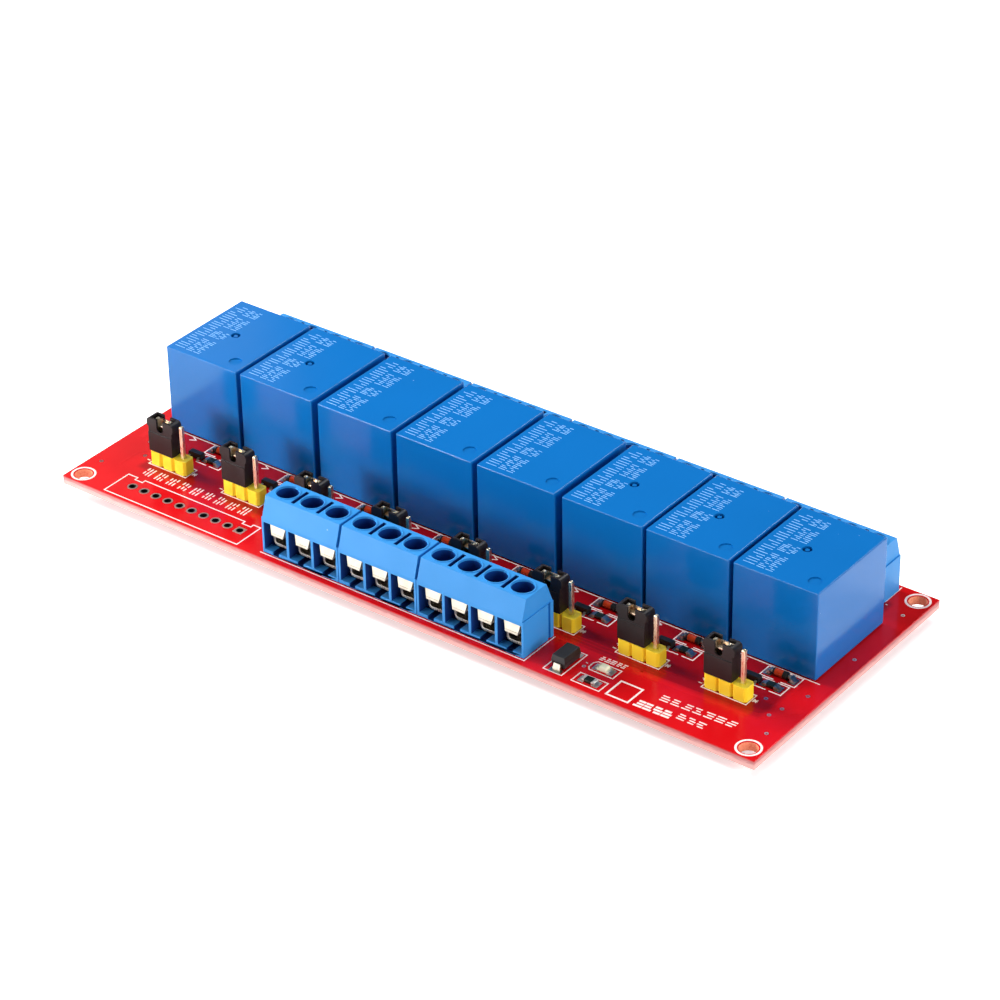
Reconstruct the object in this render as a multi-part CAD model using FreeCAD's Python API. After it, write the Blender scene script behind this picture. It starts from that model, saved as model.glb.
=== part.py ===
import FreeCAD, Part
import math
import os

# An eight channel relay module: a bare circuit board that carries eight sealed
# relays, a row of screw terminals along each long edge and one jumper per channel.
# Sizes are in millimetres. Places along X are measured from the left edge of the
# board, places along Y from its front edge, and heights from its underside.
# The finished model has its origin at the middle of the underside.

# Sides of the round forms that repeat many times, which keep the model light
bore_sides = 16
small_round_sides = 8

# Circuit board
board_thickness = 1.6
board_end = 3.5
mount_hole_diameter = 3.0
mount_hole_side_inset = 2.5
mount_hole_edge_inset = 2.3
channel_count = 8
channel_shift = 0.5
pin_pitch = 2.54
pin_hole_clearance = 0.05

# Empty footprint for a ten way control header
footprint_pins = 10
footprint_start = 11.66
footprint_row = 3.99
footprint_hole_diameter = 1.0

# Screw terminal housings
pole_pitch = 5.0
end_wall = 0.15
block_seam = 0.1
front_pole_counts = (3, 3, 4)
rear_pole_counts = (4, 4, 4, 4, 4, 4)
front_block_start = 41.58
rear_block_shift = 0.3
front_block_inset = 1.4
rear_block_inset = 0.9
block_depth = 7.7
block_height = 10.1
block_waist = 6.5
front_bevel = 1.1
rear_bevel = 1.5
cheek_step = 0.1
screw_line = 3.6
bore_diameter = 3.7
chamber_width = 4.5
chamber_back = 6.2
chamber_top = 5.7
lip_height = 0.7
lip_depth = 1.8
lip_notch_width = 0.9
slot_width = 0.4
slot_depth = 0.8
slot_front = 2.1
key_width = 0.5
key_depth = 0.3
key_line = 6.55
key_clearance = 0.05

# Metal parts of one terminal pole
cage_width = 3.3
cage_depth = 4.2
cage_bottom = 1.0
cage_top = 5.6
cage_wall = 0.5
cage_window_width = 2.4
cage_window_top = 3.9
cage_corner = 0.6
strip_width = 2.3
strip_thickness = 0.4
strip_clearance = 0.1
tongue_front = 0.5
tongue_lean = 0.3
tongue_top_width = 3.1
tongue_top = 5.3
leg_width = 1.0
leg_clearance = 0.05
terminal_leg_reach = 1.5
screw_head_diameter = 3.4
screw_head_height = 1.6

# Relays
relay_spacing = 0.6
relay_drift = (0.0, -0.15, 0.1, 0.1, 0.1, 0.45, 0.15, -0.1)
relay_parts_strip = 8.18
relay_rear_strip = 2.05
relay_width = 15.4
relay_depth = 19.1
relay_height = 15.3
relay_standoff = 0.3
cover_wall = 0.9
cover_top = 1.2
cover_chamfer = 0.25
vented_relays = (0, 1, 5, 6, 7)
vent_diameter = 1.8
vent_depth = 0.5
vent_from_left = 7.2
vent_from_front = 9.4
base_thickness = 1.5
base_clearance = 0.05
relay_leg_reach = 1.7
relay_leg_width = 1.0
relay_leg_thickness = 0.4
coil_leg_side = 0.6
leg_side_inset = 1.7
coil_leg_line = 4.3
common_leg_line = 2.3
contact_leg_inset = 2.6

# Works of one relay
yoke_share = 0.75
yoke_thickness = 1.1
works_headroom = 0.65
yoke_foot_length = 10.0
core_share = 1 / 3
core_clearance = 0.05
bobbin_lap = 0.1
bobbin_foot_lap = 0.6
bobbin_flange_thickness = 0.8
bobbin_wall = 0.75
bobbin_gap = 0.1
winding_inset = 0.4
winding_corner = 1.6
armature_length = 11.0
armature_thickness = 1.0
armature_gap = 0.1
spring_width = 4.0
spring_thickness = 0.3
spring_length = 13.2
contact_strip_thickness = 0.4
contact_strip_depth = 1.4
contact_gap = 0.05
contact_travel = 0.6

# Jumper headers
jumper_first_pin = 15.49
jumper_pitch_less = 0.38
jumper_gap = 2.07
jumper_way_count = 3
jumper_body_depth = 2.5
jumper_body_height = 2.54
jumper_groove = 0.4
jumper_pin_side = 0.64
jumper_pin_above = 6.0
jumper_pin_reach = 1.4
jumper_pin_taper = 0.15
jumper_pin_fit = 0.02

# Jumper caps
cap_width = 5.0
cap_depth = 2.5
cap_height = 6.5
cap_seat_gap = 0.05
cap_wall = 0.5
cap_rim_height = 0.9
cap_rim_overhang = 0.3
cap_notch_width = 1.6
cap_notch_depth = 2.3
cap_notch_corner = 0.5
clip_thickness = 0.3
clip_width = 3.4
clip_bottom = 1.0
clip_top = 5.2
clip_tongue_width = 1.6
clip_tongue_length = 0.9

# Small parts of one channel, placed from the bare pin of its jumper
diode_offset = (1.7, 7.7)
diode_length = 3.5
diode_diameter = 1.5
resistor_offset = (1.9, 4.75)
resistor_length = 2.0
resistor_width = 1.25
resistor_height = 0.55
transistor_offset = (-1.4, 4.7)
transistor_length = 2.9
transistor_width = 1.3
transistor_height = 1.0
transistor_draft = 0.12
transistor_lead_width = 0.4
transistor_lead_pitch = 1.9
transistor_lead_reach = 0.55
transistor_lead_thickness = 0.15
transistor_lead_height = 0.35

# Supply parts at the front right
supply_diode_place = (98.35, 4.45)
supply_diode_width = 2.6
supply_diode_length = 4.2
supply_diode_height = 2.2
supply_diode_draft = 0.2
supply_tab_width = 1.4
supply_tab_reach = 0.5
supply_tab_thickness = 0.2
supply_tab_height = 1.1
lamp_place = (104.15, 6.2)
lamp_resistor_place = (104.15, 2.4)
lamp_length = 2.0
lamp_width = 1.25
lamp_base_height = 0.35
lamp_height = 0.8
lamp_lens_inset = 0.35

# Places that follow from the sizes above, from the left end and the front edge
relay_pitch = relay_width + relay_spacing
board_length = channel_count * relay_pitch + 2 * board_end
relay_first_centre = board_end + relay_pitch / 2 + channel_shift
jumper_pitch = relay_pitch - jumper_pitch_less
jumper_line = front_block_inset + block_depth + jumper_gap + jumper_body_depth / 2
relay_front = jumper_line + jumper_body_depth / 2 + relay_parts_strip
board_width = relay_front + relay_depth + relay_rear_strip + block_depth + rear_block_inset
rear_row_length = sum(rear_pole_counts) * pole_pitch + len(rear_pole_counts) * (2 * end_wall + block_seam)
rear_block_start = (board_length - rear_row_length) / 2 - rear_block_shift

# Heights and inner places that follow from the sizes above
board_top = board_thickness
relay_bottom = board_top + relay_standoff
relay_top = relay_bottom + relay_height
base_top = board_top + base_thickness
cage_back = screw_line + cage_depth / 2
cage_front = screw_line - cage_depth / 2
strip_level = cage_window_top - strip_clearance - strip_thickness
leg_back = cage_back + leg_clearance + strip_thickness
coil_leg_spread = relay_width - 2 * leg_side_inset
contact_leg_line = relay_depth - contact_leg_inset
yoke_width = coil_leg_spread * yoke_share
core_side = yoke_width * core_share
bobbin_flange = yoke_width + 2 * bobbin_lap
bobbin_foot_width = coil_leg_spread + 2 * bobbin_foot_lap
winding_side = bobbin_flange - 2 * winding_inset
bobbin_sleeve = core_side + 2 * (core_clearance + bobbin_wall)
above_yoke = (armature_gap + armature_thickness + spring_thickness
              + contact_gap + contact_strip_thickness + works_headroom)
yoke_top = relay_top - cover_top - above_yoke
foot_top = base_top + yoke_thickness
bobbin_bottom = foot_top + bobbin_gap
bobbin_top = yoke_top - bobbin_gap
coil_line = common_leg_line - relay_leg_thickness / 2 + yoke_thickness + bobbin_gap + bobbin_flange / 2
armature_bottom = yoke_top + armature_gap
spring_bottom = armature_bottom + armature_thickness
cap_bottom = board_top + jumper_body_height + cap_seat_gap


def box(x, y, z):
    """A box from the low and high limit along each axis."""
    corner = FreeCAD.Vector(x[0], y[0], z[0])
    return Part.makeBox(x[1] - x[0], y[1] - y[0], z[1] - z[0], corner)


def around(centre, size):
    """The low and high limit of a span of one size around its centre."""
    return (centre - size / 2, centre + size / 2)


def cylinder(x, y, diameter, z):
    """An upright cylinder between two heights."""
    return Part.makeCylinder(diameter / 2, z[1] - z[0], FreeCAD.Vector(x, y, z[0]))


def few_sided(x, y, diameter, z, sides=small_round_sides):
    """An upright prism that stands for a small round form between two heights."""
    turn = 2 * math.pi / sides
    outline = [(x + diameter / 2 * math.cos(turn * (side + 0.5)),
                y + diameter / 2 * math.sin(turn * (side + 0.5)),
                z[0]) for side in range(sides)]
    return prism(outline, (0, 0, z[1] - z[0]))


def prism(points, direction):
    """A solid swept from a closed outline of points along a direction."""
    corners = [FreeCAD.Vector(*point) for point in points]
    return Part.Face(Part.makePolygon(corners + corners[:1])).extrude(FreeCAD.Vector(*direction))


def fused(pieces):
    """One solid of pieces that touch or overlap, with its split faces joined."""
    return pieces[0].fuse(pieces[1:]).removeSplitter()


def moved(shape, x, y, z):
    """A copy of a shape moved by a distance along each axis."""
    return shape.translated(FreeCAD.Vector(x, y, z))


def save(name, solids):
    """Writes one node, moved so that the origin is the middle of the underside."""
    shape = solids[0] if len(solids) == 1 else Part.makeCompound(solids)
    centred = moved(shape, -board_length / 2, -board_width / 2, 0)
    centred.exportStep(os.path.join("parts", name + ".step"))


def relay_left(channel):
    """The left face of a relay, off its pitch by as much as it was soldered."""
    centre = relay_first_centre + relay_pitch * channel + relay_drift[channel]
    return centre - relay_width / 2


def bare_pin(channel):
    """The place of the jumper pin that its cap leaves bare."""
    return jumper_first_pin + jumper_pitch * channel


def block_length(poles):
    """The length of a terminal housing with some number of poles."""
    return poles * pole_pitch + 2 * end_wall


def block_starts(start, blocks):
    """The left end of each housing in a row of terminals."""
    starts = []
    for poles in blocks:
        starts.append(start)
        start += block_length(poles) + block_seam
    return starts


def pole_centres(poles):
    """The middle of each pole, from the left end of its housing."""
    return [end_wall + pole_pitch * (pole + 0.5) for pole in range(poles)]


def on_front_edge(shape, start):
    """A terminal piece moved to its place in the front row."""
    return moved(shape, start, front_block_inset, board_top)


def on_rear_edge(shape, start, poles):
    """A terminal piece turned to face the rear and moved to its place there."""
    turned = shape.rotated(FreeCAD.Vector(), FreeCAD.Vector(0, 0, 1), 180)
    return moved(turned, start + block_length(poles), board_width - rear_block_inset, board_top)


def in_front_row(build):
    """The pieces of the front row, with one list from build for each housing."""
    starts = block_starts(front_block_start, front_pole_counts)
    return [[on_front_edge(piece, start) for piece in build(poles)]
            for start, poles in zip(starts, front_pole_counts)]


def in_rear_row(build):
    """The pieces of the rear row, with one list from build for each housing."""
    starts = block_starts(rear_block_start, rear_pole_counts)
    return [[on_rear_edge(piece, start, poles) for piece in build(poles)]
            for start, poles in zip(starts, rear_pole_counts)]


def terminal_housing(poles):
    """A housing that faces the front, with its left end at zero."""
    length = block_length(poles)
    front_at_top = front_bevel
    rear_at_top = block_depth - rear_bevel
    lower = box((0, length), (0, block_depth), (0, block_waist))
    upper = prism([(cheek_step, 0, block_waist),
                   (cheek_step, block_depth, block_waist),
                   (cheek_step, rear_at_top, block_height),
                   (cheek_step, front_at_top, block_height)],
                  (length - 2 * cheek_step, 0, 0))
    key = box((-key_depth, 0), around(key_line, key_width), (0, block_waist))
    key_way = box((length - key_depth - key_clearance, length),
                  around(key_line, key_width + 2 * key_clearance), (0, block_waist))
    hollows = [key_way]
    for centre in pole_centres(poles):
        side = centre - chamber_width / 2
        hollows.append(prism([(side, 0, lip_height),
                              (side, lip_depth, lip_height),
                              (side, lip_depth, 0),
                              (side, chamber_back, 0),
                              (side, chamber_back, chamber_top),
                              (side, 0, chamber_top)], (chamber_width, 0, 0)))
        hollows.append(box(around(centre, lip_notch_width), (0, lip_depth), (0, lip_height)))
        hollows.append(few_sided(centre, screw_line, bore_diameter,
                                 (chamber_top, block_height), bore_sides))
    for pole in range(1, poles):
        boundary = end_wall + pole_pitch * pole
        hollows.append(box(around(boundary, slot_width), (slot_front, block_depth),
                           (block_height - slot_depth, block_height)))
    return [fused([lower, upper, key]).cut(hollows)]


def clamp_cages(poles):
    """The steel cages that rise to grip a wire, open from front to back."""
    return [clamp_cage(centre) for centre in pole_centres(poles)]


def clamp_cage(centre):
    """One cage: a thick top for the screw, thin sides and a rounded foot."""
    left, right = around(centre, cage_width)
    outline = [(left, cage_front, cage_top),
               (left, cage_front, cage_bottom + cage_corner),
               (left + cage_corner, cage_front, cage_bottom),
               (right - cage_corner, cage_front, cage_bottom),
               (right, cage_front, cage_bottom + cage_corner),
               (right, cage_front, cage_top)]
    window = box(around(centre, cage_window_width), (cage_front, cage_back),
                 (cage_bottom + cage_wall, cage_window_top))
    return prism(outline, (0, cage_depth, 0)).cut(window)


def terminal_legs(poles):
    """The tinned strips that carry the current down to the board."""
    return [terminal_leg(centre) for centre in pole_centres(poles)]


def terminal_leg(centre):
    """One strip: a tongue in the wire entry, a shelf through the cage and a leg."""
    shelf = box(around(centre, strip_width), (tongue_front, leg_back),
                (strip_level, strip_level + strip_thickness))
    leg = box(around(centre, leg_width), (leg_back - strip_thickness, leg_back),
              (-board_thickness - terminal_leg_reach, strip_level))
    foot = [(x, tongue_front, strip_level) for x in around(centre, strip_width)]
    head = [(x, tongue_front + tongue_lean, tongue_top) for x in around(centre, tongue_top_width)]
    tongue = prism([foot[0], foot[1], head[1], head[0]], (0, strip_thickness, 0))
    return fused([shelf, leg, tongue])


def terminal_screws(poles):
    """The screw heads that stand on the cages."""
    return [few_sided(centre, screw_line, screw_head_diameter, (cage_top, cage_top + screw_head_height))
            for centre in pole_centres(poles)]


def relay_cover(channel):
    """A moulded cover, open below, with a vent in its top where it has one."""
    left = relay_left(channel)
    shell = box((left, left + relay_width), (relay_front, relay_front + relay_depth),
                (relay_bottom, relay_top))
    kept_sharp = relay_bottom + cover_wall
    edges = [edge for edge in shell.Edges if edge.BoundBox.ZMax > kept_sharp]
    shell = shell.makeChamfer(cover_chamfer, edges)
    hollows = [box((left + cover_wall, left + relay_width - cover_wall),
                   (relay_front + cover_wall, relay_front + relay_depth - cover_wall),
                   (relay_bottom, relay_top - cover_top))]
    if channel in vented_relays:
        hollows.append(few_sided(left + vent_from_left, relay_front + vent_from_front,
                                 vent_diameter, (relay_top - vent_depth, relay_top)))
    return shell.cut(hollows)


def relay_leg_places(channel):
    """The limits in X and Y of the five legs of a relay."""
    middle = relay_left(channel) + relay_width / 2
    common = [(around(middle, relay_leg_width), around(relay_front + common_leg_line, relay_leg_thickness))]
    coil = [(around(middle + side * coil_leg_spread / 2, coil_leg_side),
             around(relay_front + coil_leg_line, coil_leg_side)) for side in (-1, 1)]
    contact = [(around(middle + side * coil_leg_spread / 2, relay_leg_width),
                around(relay_front + contact_leg_line, relay_leg_thickness)) for side in (-1, 1)]
    return common, coil, contact


def terminal_leg_places():
    """The limits in X and Y of the legs of both rows of terminals."""
    inward = leg_back - strip_thickness / 2
    rows = ((front_block_start, front_pole_counts, front_block_inset + inward),
            (rear_block_start, rear_pole_counts, board_width - rear_block_inset - inward))
    return [(around(start + centre, leg_width), around(line, strip_thickness))
            for first, blocks, line in rows
            for start, poles in zip(block_starts(first, blocks), blocks)
            for centre in pole_centres(poles)]


def jumper_pin_places(channel):
    """The limits in X and Y of the three pins of a jumper header."""
    return [(around(bare_pin(channel) - pin_pitch * way, jumper_pin_side),
             around(jumper_line, jumper_pin_side)) for way in range(jumper_way_count)]


def widened(limits, clearance):
    """Limits with a clearance on both sides."""
    return (limits[0] - clearance, limits[1] + clearance)


def circuit_board():
    """The board, drilled for its screws, the empty footprint and every leg."""
    through = (0, board_top)
    holes = []
    for x in (mount_hole_side_inset, board_length - mount_hole_side_inset):
        for y in (mount_hole_edge_inset, board_width - mount_hole_edge_inset):
            holes.append(cylinder(x, y, mount_hole_diameter, through))
    for pin in range(footprint_pins):
        holes.append(few_sided(footprint_start + pin_pitch * pin, footprint_row,
                               footprint_hole_diameter, through))
    places = terminal_leg_places()
    for channel in range(channel_count):
        common, coil, contact = relay_leg_places(channel)
        places += common + coil + contact + jumper_pin_places(channel)
    for x, y in places:
        holes.append(box(widened(x, pin_hole_clearance), widened(y, pin_hole_clearance), through))
    return box((0, board_length), (0, board_width), (0, board_top)).cut(holes)


def relay_base(channel):
    """The plate that closes a relay from below and stands on the board."""
    left = relay_left(channel)
    inset = cover_wall + base_clearance
    common, coil, contact = relay_leg_places(channel)
    holes = [box(widened(x, base_clearance), widened(y, base_clearance), (board_top, base_top))
             for x, y in common + coil + contact]
    return box((left + inset, left + relay_width - inset),
               (relay_front + inset, relay_front + relay_depth - inset), (board_top, base_top)).cut(holes)


def relay_yoke(channel):
    """The iron frame of a coil: an upright plate, a foot and the leg of the common contact."""
    across = around(relay_left(channel) + relay_width / 2, yoke_width)
    front = relay_front + common_leg_line - relay_leg_thickness / 2
    plate = box(across, (front, front + yoke_thickness), (base_top, yoke_top))
    foot = box(across, (front, front + yoke_thickness + yoke_foot_length), (base_top, foot_top))
    leg_x, leg_y = relay_leg_places(channel)[0][0]
    leg = box(leg_x, leg_y, (-relay_leg_reach, base_top))
    return fused([plate, foot, leg])


def coil_middle(channel):
    """The place of the upright axis of a coil."""
    return relay_left(channel) + relay_width / 2, relay_front + coil_line


def relay_core(channel):
    """The iron bar through a coil, from the foot of the yoke to the armature."""
    x, y = coil_middle(channel)
    return box(around(x, core_side), around(y, core_side), (foot_top, yoke_top))


def relay_bobbin(channel):
    """The moulded former of a coil, whose wide lower flange stands on the coil legs."""
    x, y = coil_middle(channel)
    deep = around(y, bobbin_flange)
    lower = box(around(x, bobbin_foot_width), deep,
                (bobbin_bottom, bobbin_bottom + bobbin_flange_thickness))
    upper = box(around(x, bobbin_flange), deep, (bobbin_top - bobbin_flange_thickness, bobbin_top))
    sleeve = box(around(x, bobbin_sleeve), around(y, bobbin_sleeve), (bobbin_bottom, bobbin_top))
    bore_side = core_side + 2 * core_clearance
    bore = box(around(x, bore_side), around(y, bore_side), (bobbin_bottom, bobbin_top))
    return fused([lower, upper, sleeve]).cut(bore)


def relay_winding(channel):
    """The wound copper of a coil, with its corners rounded off by the wire."""
    x, y = coil_middle(channel)
    bottom = bobbin_bottom + bobbin_flange_thickness
    top = bobbin_top - bobbin_flange_thickness
    coil = box(around(x, winding_side), around(y, winding_side), (bottom, top))
    upright = [edge for edge in coil.Edges if edge.BoundBox.ZLength > bobbin_flange_thickness]
    coil = coil.makeChamfer(winding_corner, upright)
    return coil.cut(box(around(x, bobbin_sleeve), around(y, bobbin_sleeve), (bottom, top)))


def relay_armature(channel):
    """The iron plate that the coil pulls down, lying over the core."""
    front = relay_front + common_leg_line - relay_leg_thickness / 2
    return box(around(relay_left(channel) + relay_width / 2, yoke_width), (front, front + armature_length),
               (armature_bottom, armature_bottom + armature_thickness))


def relay_spring(channel):
    """The leaf on the armature that carries the moving contact."""
    rear = relay_front + contact_leg_line + contact_strip_depth / 2
    return box(around(relay_left(channel) + relay_width / 2, spring_width), (rear - spring_length, rear),
               (spring_bottom, spring_bottom + spring_thickness))


def relay_contacts(channel):
    """The two fixed contacts, one below the moving leaf and one above it."""
    middle = relay_left(channel) + relay_width / 2
    line = around(relay_front + contact_leg_line, contact_strip_depth)
    below = spring_bottom - contact_travel - contact_strip_thickness
    above = spring_bottom + spring_thickness + contact_gap
    contacts = []
    for (leg_x, leg_y), level, side in zip(relay_leg_places(channel)[2], (below, above), (-1, 1)):
        top = level + contact_strip_thickness
        reach = sorted((leg_x[0], leg_x[1], middle - side * relay_leg_width))
        contacts.append(fused([box(leg_x, leg_y, (-relay_leg_reach, top)),
                               box((reach[0], reach[-1]), line, (level, top))]))
    return contacts


def coil_legs(channel):
    """The two posts that bring current to a coil."""
    return [box(x, y, (-relay_leg_reach, bobbin_bottom)) for x, y in relay_leg_places(channel)[1]]


def jumper_header(channel):
    """The three way moulding under a jumper, grooved between its ways."""
    left = bare_pin(channel) - pin_pitch * (jumper_way_count - 0.5)
    front, rear = around(jumper_line, jumper_body_depth)
    front_side = []
    for way in range(jumper_way_count):
        start = left + pin_pitch * way
        front_side += [(start, front + jumper_groove, board_top),
                       (start + jumper_groove, front, board_top),
                       (start + pin_pitch - jumper_groove, front, board_top)]
    front_side.append((left + pin_pitch * jumper_way_count, front + jumper_groove, board_top))
    rear_side = [(x, front + rear - y, z) for x, y, z in reversed(front_side)]
    body = prism(front_side + rear_side, (0, 0, jumper_body_height))
    sockets = [box(widened(x, jumper_pin_fit), widened(y, jumper_pin_fit),
                   (board_top, board_top + jumper_body_height))
               for x, y in jumper_pin_places(channel)]
    return body.cut(sockets)


def jumper_pins(channel):
    """The three square pins of a header, tapered at their tips."""
    tip = board_top + jumper_body_height + jumper_pin_above
    pins = []
    for x, y in jumper_pin_places(channel):
        pin = box(x, y, (-jumper_pin_reach, tip))
        ends = [edge for edge in pin.Edges if edge.BoundBox.ZMin > board_top]
        pins.append(pin.makeChamfer(jumper_pin_taper, ends))
    return pins


def cap_middle(channel):
    """The middle of the jumper cap, between the two pins that it joins."""
    return bare_pin(channel) - pin_pitch * (jumper_way_count - 1.5)


def jumper_cap(channel):
    """The black cap over two pins, with a rim to pull and an open notch."""
    middle = cap_middle(channel)
    front = jumper_line - cap_depth / 2
    top = cap_bottom + cap_height
    body = box(around(middle, cap_width), around(jumper_line, cap_depth), (cap_bottom, top))
    rim = box(around(middle, cap_width + 2 * cap_rim_overhang), around(jumper_line, cap_depth),
              (top - cap_rim_height, top))
    inside = box(around(middle, cap_width - 2 * cap_wall), around(jumper_line, cap_depth - 2 * cap_wall),
                 (cap_bottom, top))
    half = cap_notch_width / 2
    bottom = top - cap_notch_depth
    notch = prism([(middle - half, front, top),
                   (middle - half, front, bottom + cap_notch_corner),
                   (middle - half + cap_notch_corner, front, bottom),
                   (middle + half - cap_notch_corner, front, bottom),
                   (middle + half, front, bottom + cap_notch_corner),
                   (middle + half, front, top)], (0, cap_depth, 0))
    return fused([body, rim]).cut([inside, notch])


def cap_clip(channel):
    """The metal bridge in a cap, behind its two pins, with a tongue between them."""
    middle = cap_middle(channel)
    behind = jumper_line + jumper_pin_side / 2
    plate = box(around(middle, clip_width), (behind, behind + clip_thickness),
                (cap_bottom + clip_bottom, cap_bottom + clip_top))
    tongue = box(around(middle, clip_tongue_width), (behind - clip_tongue_length, behind),
                 (cap_bottom + clip_top - clip_thickness, cap_bottom + clip_top))
    return fused([plate, tongue])


def beside_pin(channel, offset):
    """A place given by its offset from the bare pin of a channel."""
    return bare_pin(channel) + offset[0], jumper_line + offset[1]


def glass_diode(channel):
    """The glass tube diode that lies in front of a relay."""
    x, y = beside_pin(channel, diode_offset)
    tube = few_sided(0, 0, diode_diameter, (0, diode_length))
    lying = tube.rotated(FreeCAD.Vector(), FreeCAD.Vector(0, 1, 0), 90)
    flat = diode_diameter / 2 * math.cos(math.pi / small_round_sides)
    return moved(lying, x - diode_length / 2, y, board_top + flat)


def chip_resistor(place):
    """A flat ceramic resistor."""
    return box(around(place[0], resistor_length), around(place[1], resistor_width),
               (board_top, board_top + resistor_height))


def drafted_body(place, size, draft, bottom):
    """A moulded body whose long sides lean in towards the top."""
    left, right = around(place[0], size[0])
    front, rear = around(place[1], size[1])
    top = bottom + size[2]
    return prism([(left, front, bottom), (left, rear, bottom),
                  (left, rear - draft, top), (left, front + draft, top)], (right - left, 0, 0))


def transistor_body(channel):
    """The moulded body of a small transistor."""
    size = (transistor_length, transistor_width, transistor_height)
    return drafted_body(beside_pin(channel, transistor_offset), size, transistor_draft,
                        board_top + transistor_lead_thickness)


def transistor_leads(channel):
    """The three sloping leads of a small transistor, two in front and one behind."""
    x, y = beside_pin(channel, transistor_offset)
    near = transistor_width / 2
    outline = [(near, transistor_lead_height),
               (near + transistor_lead_reach, 0),
               (near + transistor_lead_reach, transistor_lead_thickness),
               (near, transistor_lead_height + transistor_lead_thickness)]
    leads = []
    for shift, side in ((-transistor_lead_pitch / 2, -1), (transistor_lead_pitch / 2, -1), (0, 1)):
        start = x + shift - transistor_lead_width / 2
        leads.append(prism([(start, y + side * out, board_top + up) for out, up in outline],
                           (transistor_lead_width, 0, 0)))
    return leads


def supply_diode():
    """The black diode of the supply, which lies along Y."""
    x, y = supply_diode_place
    left, right = around(x, supply_diode_width)
    bottom = board_top + supply_tab_thickness
    top = board_top + supply_diode_height
    draft = supply_diode_draft
    return prism([(left, y - supply_diode_length / 2, bottom), (right, y - supply_diode_length / 2, bottom),
                  (right - draft, y - supply_diode_length / 2, top),
                  (left + draft, y - supply_diode_length / 2, top)], (0, supply_diode_length, 0))


def supply_tabs():
    """The two bent end tabs of the supply diode."""
    x, y = supply_diode_place
    across = around(x, supply_tab_width)
    tabs = []
    for side in (-1, 1):
        near = y + side * supply_diode_length / 2
        outer = near + side * supply_tab_reach
        bend = near + side * supply_tab_thickness
        foot = box(across, sorted((near, outer)), (board_top, board_top + supply_tab_thickness))
        riser = box(across, sorted((near, bend)), (board_top, board_top + supply_tab_height))
        tabs.append(fused([foot, riser]))
    return tabs


def supply_lamp():
    """The white light that shows the supply, a base with a clear lens block."""
    x, y = lamp_place
    base = box(around(x, lamp_length), around(y, lamp_width), (board_top, board_top + lamp_base_height))
    lens = box(around(x, lamp_length - 2 * lamp_lens_inset), around(y, lamp_width),
               (board_top, board_top + lamp_height))
    return fused([base, lens])


channels = range(channel_count)
os.makedirs("parts", exist_ok=True)

save("circuit_board", [circuit_board()])
for number, housing in enumerate(in_front_row(terminal_housing), 1):
    save(f"front_terminal_housing_{number}", housing)
for number, housing in enumerate(in_rear_row(terminal_housing), 1):
    save(f"rear_terminal_housing_{number}", housing)
for name, build in (("cages", clamp_cages), ("legs", terminal_legs), ("screws", terminal_screws)):
    save(f"front_terminal_{name}", sum(in_front_row(build), []))
    save(f"rear_terminal_{name}", sum(in_rear_row(build), []))
for channel in channels:
    save(f"relay_cover_{channel + 1}", [relay_cover(channel)])
    save(f"jumper_header_{channel + 1}", [jumper_header(channel)])
    save(f"jumper_cap_{channel + 1}", [jumper_cap(channel)])
save("relay_bases", [relay_base(channel) for channel in channels])
save("relay_yokes", [relay_yoke(channel) for channel in channels])
save("relay_cores", [relay_core(channel) for channel in channels])
save("relay_bobbins", [relay_bobbin(channel) for channel in channels])
save("relay_windings", [relay_winding(channel) for channel in channels])
save("relay_armatures", [relay_armature(channel) for channel in channels])
save("relay_springs", [relay_spring(channel) for channel in channels])
save("relay_contacts", sum([relay_contacts(channel) for channel in channels], []))
save("relay_coil_legs", sum([coil_legs(channel) for channel in channels], []))
save("jumper_pins", sum([jumper_pins(channel) for channel in channels], []))
save("jumper_clips", [cap_clip(channel) for channel in channels])
save("glass_diodes", [glass_diode(channel) for channel in channels])
save("chip_resistors", [chip_resistor(beside_pin(channel, resistor_offset)) for channel in channels]
     + [chip_resistor(lamp_resistor_place)])
save("transistor_bodies", [transistor_body(channel) for channel in channels])
save("transistor_leads", sum([transistor_leads(channel) for channel in channels], []))
save("supply_diode", [supply_diode()])
save("supply_diode_tabs", supply_tabs())
save("supply_lamp", [supply_lamp()])
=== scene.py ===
import logging
import math
import random
from contextlib import contextmanager
from dataclasses import dataclass, field
from enum import Enum
from typing import Any, Callable, Iterator, Sequence

import bmesh
import bpy
from mathutils import Matrix, Vector


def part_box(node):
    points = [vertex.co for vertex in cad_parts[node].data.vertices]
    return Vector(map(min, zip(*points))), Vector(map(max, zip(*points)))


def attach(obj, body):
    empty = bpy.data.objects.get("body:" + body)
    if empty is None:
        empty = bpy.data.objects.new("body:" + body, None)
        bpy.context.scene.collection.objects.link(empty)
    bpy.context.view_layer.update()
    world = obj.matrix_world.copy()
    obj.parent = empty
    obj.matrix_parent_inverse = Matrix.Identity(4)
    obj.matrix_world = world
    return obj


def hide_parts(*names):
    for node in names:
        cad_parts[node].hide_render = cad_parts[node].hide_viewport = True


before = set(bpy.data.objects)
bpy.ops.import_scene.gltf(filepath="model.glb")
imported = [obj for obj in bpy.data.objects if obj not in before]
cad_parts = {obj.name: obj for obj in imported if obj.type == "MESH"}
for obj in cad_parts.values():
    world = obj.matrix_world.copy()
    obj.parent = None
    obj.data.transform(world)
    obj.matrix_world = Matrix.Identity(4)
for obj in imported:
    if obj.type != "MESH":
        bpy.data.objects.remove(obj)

# The looks of an eight channel relay module. Lengths are in millimetres in the classes,
# in the frame of the CAD model: origin at the middle of the board's underside, +Z up.

log = logging.getLogger("relay_module")

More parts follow.
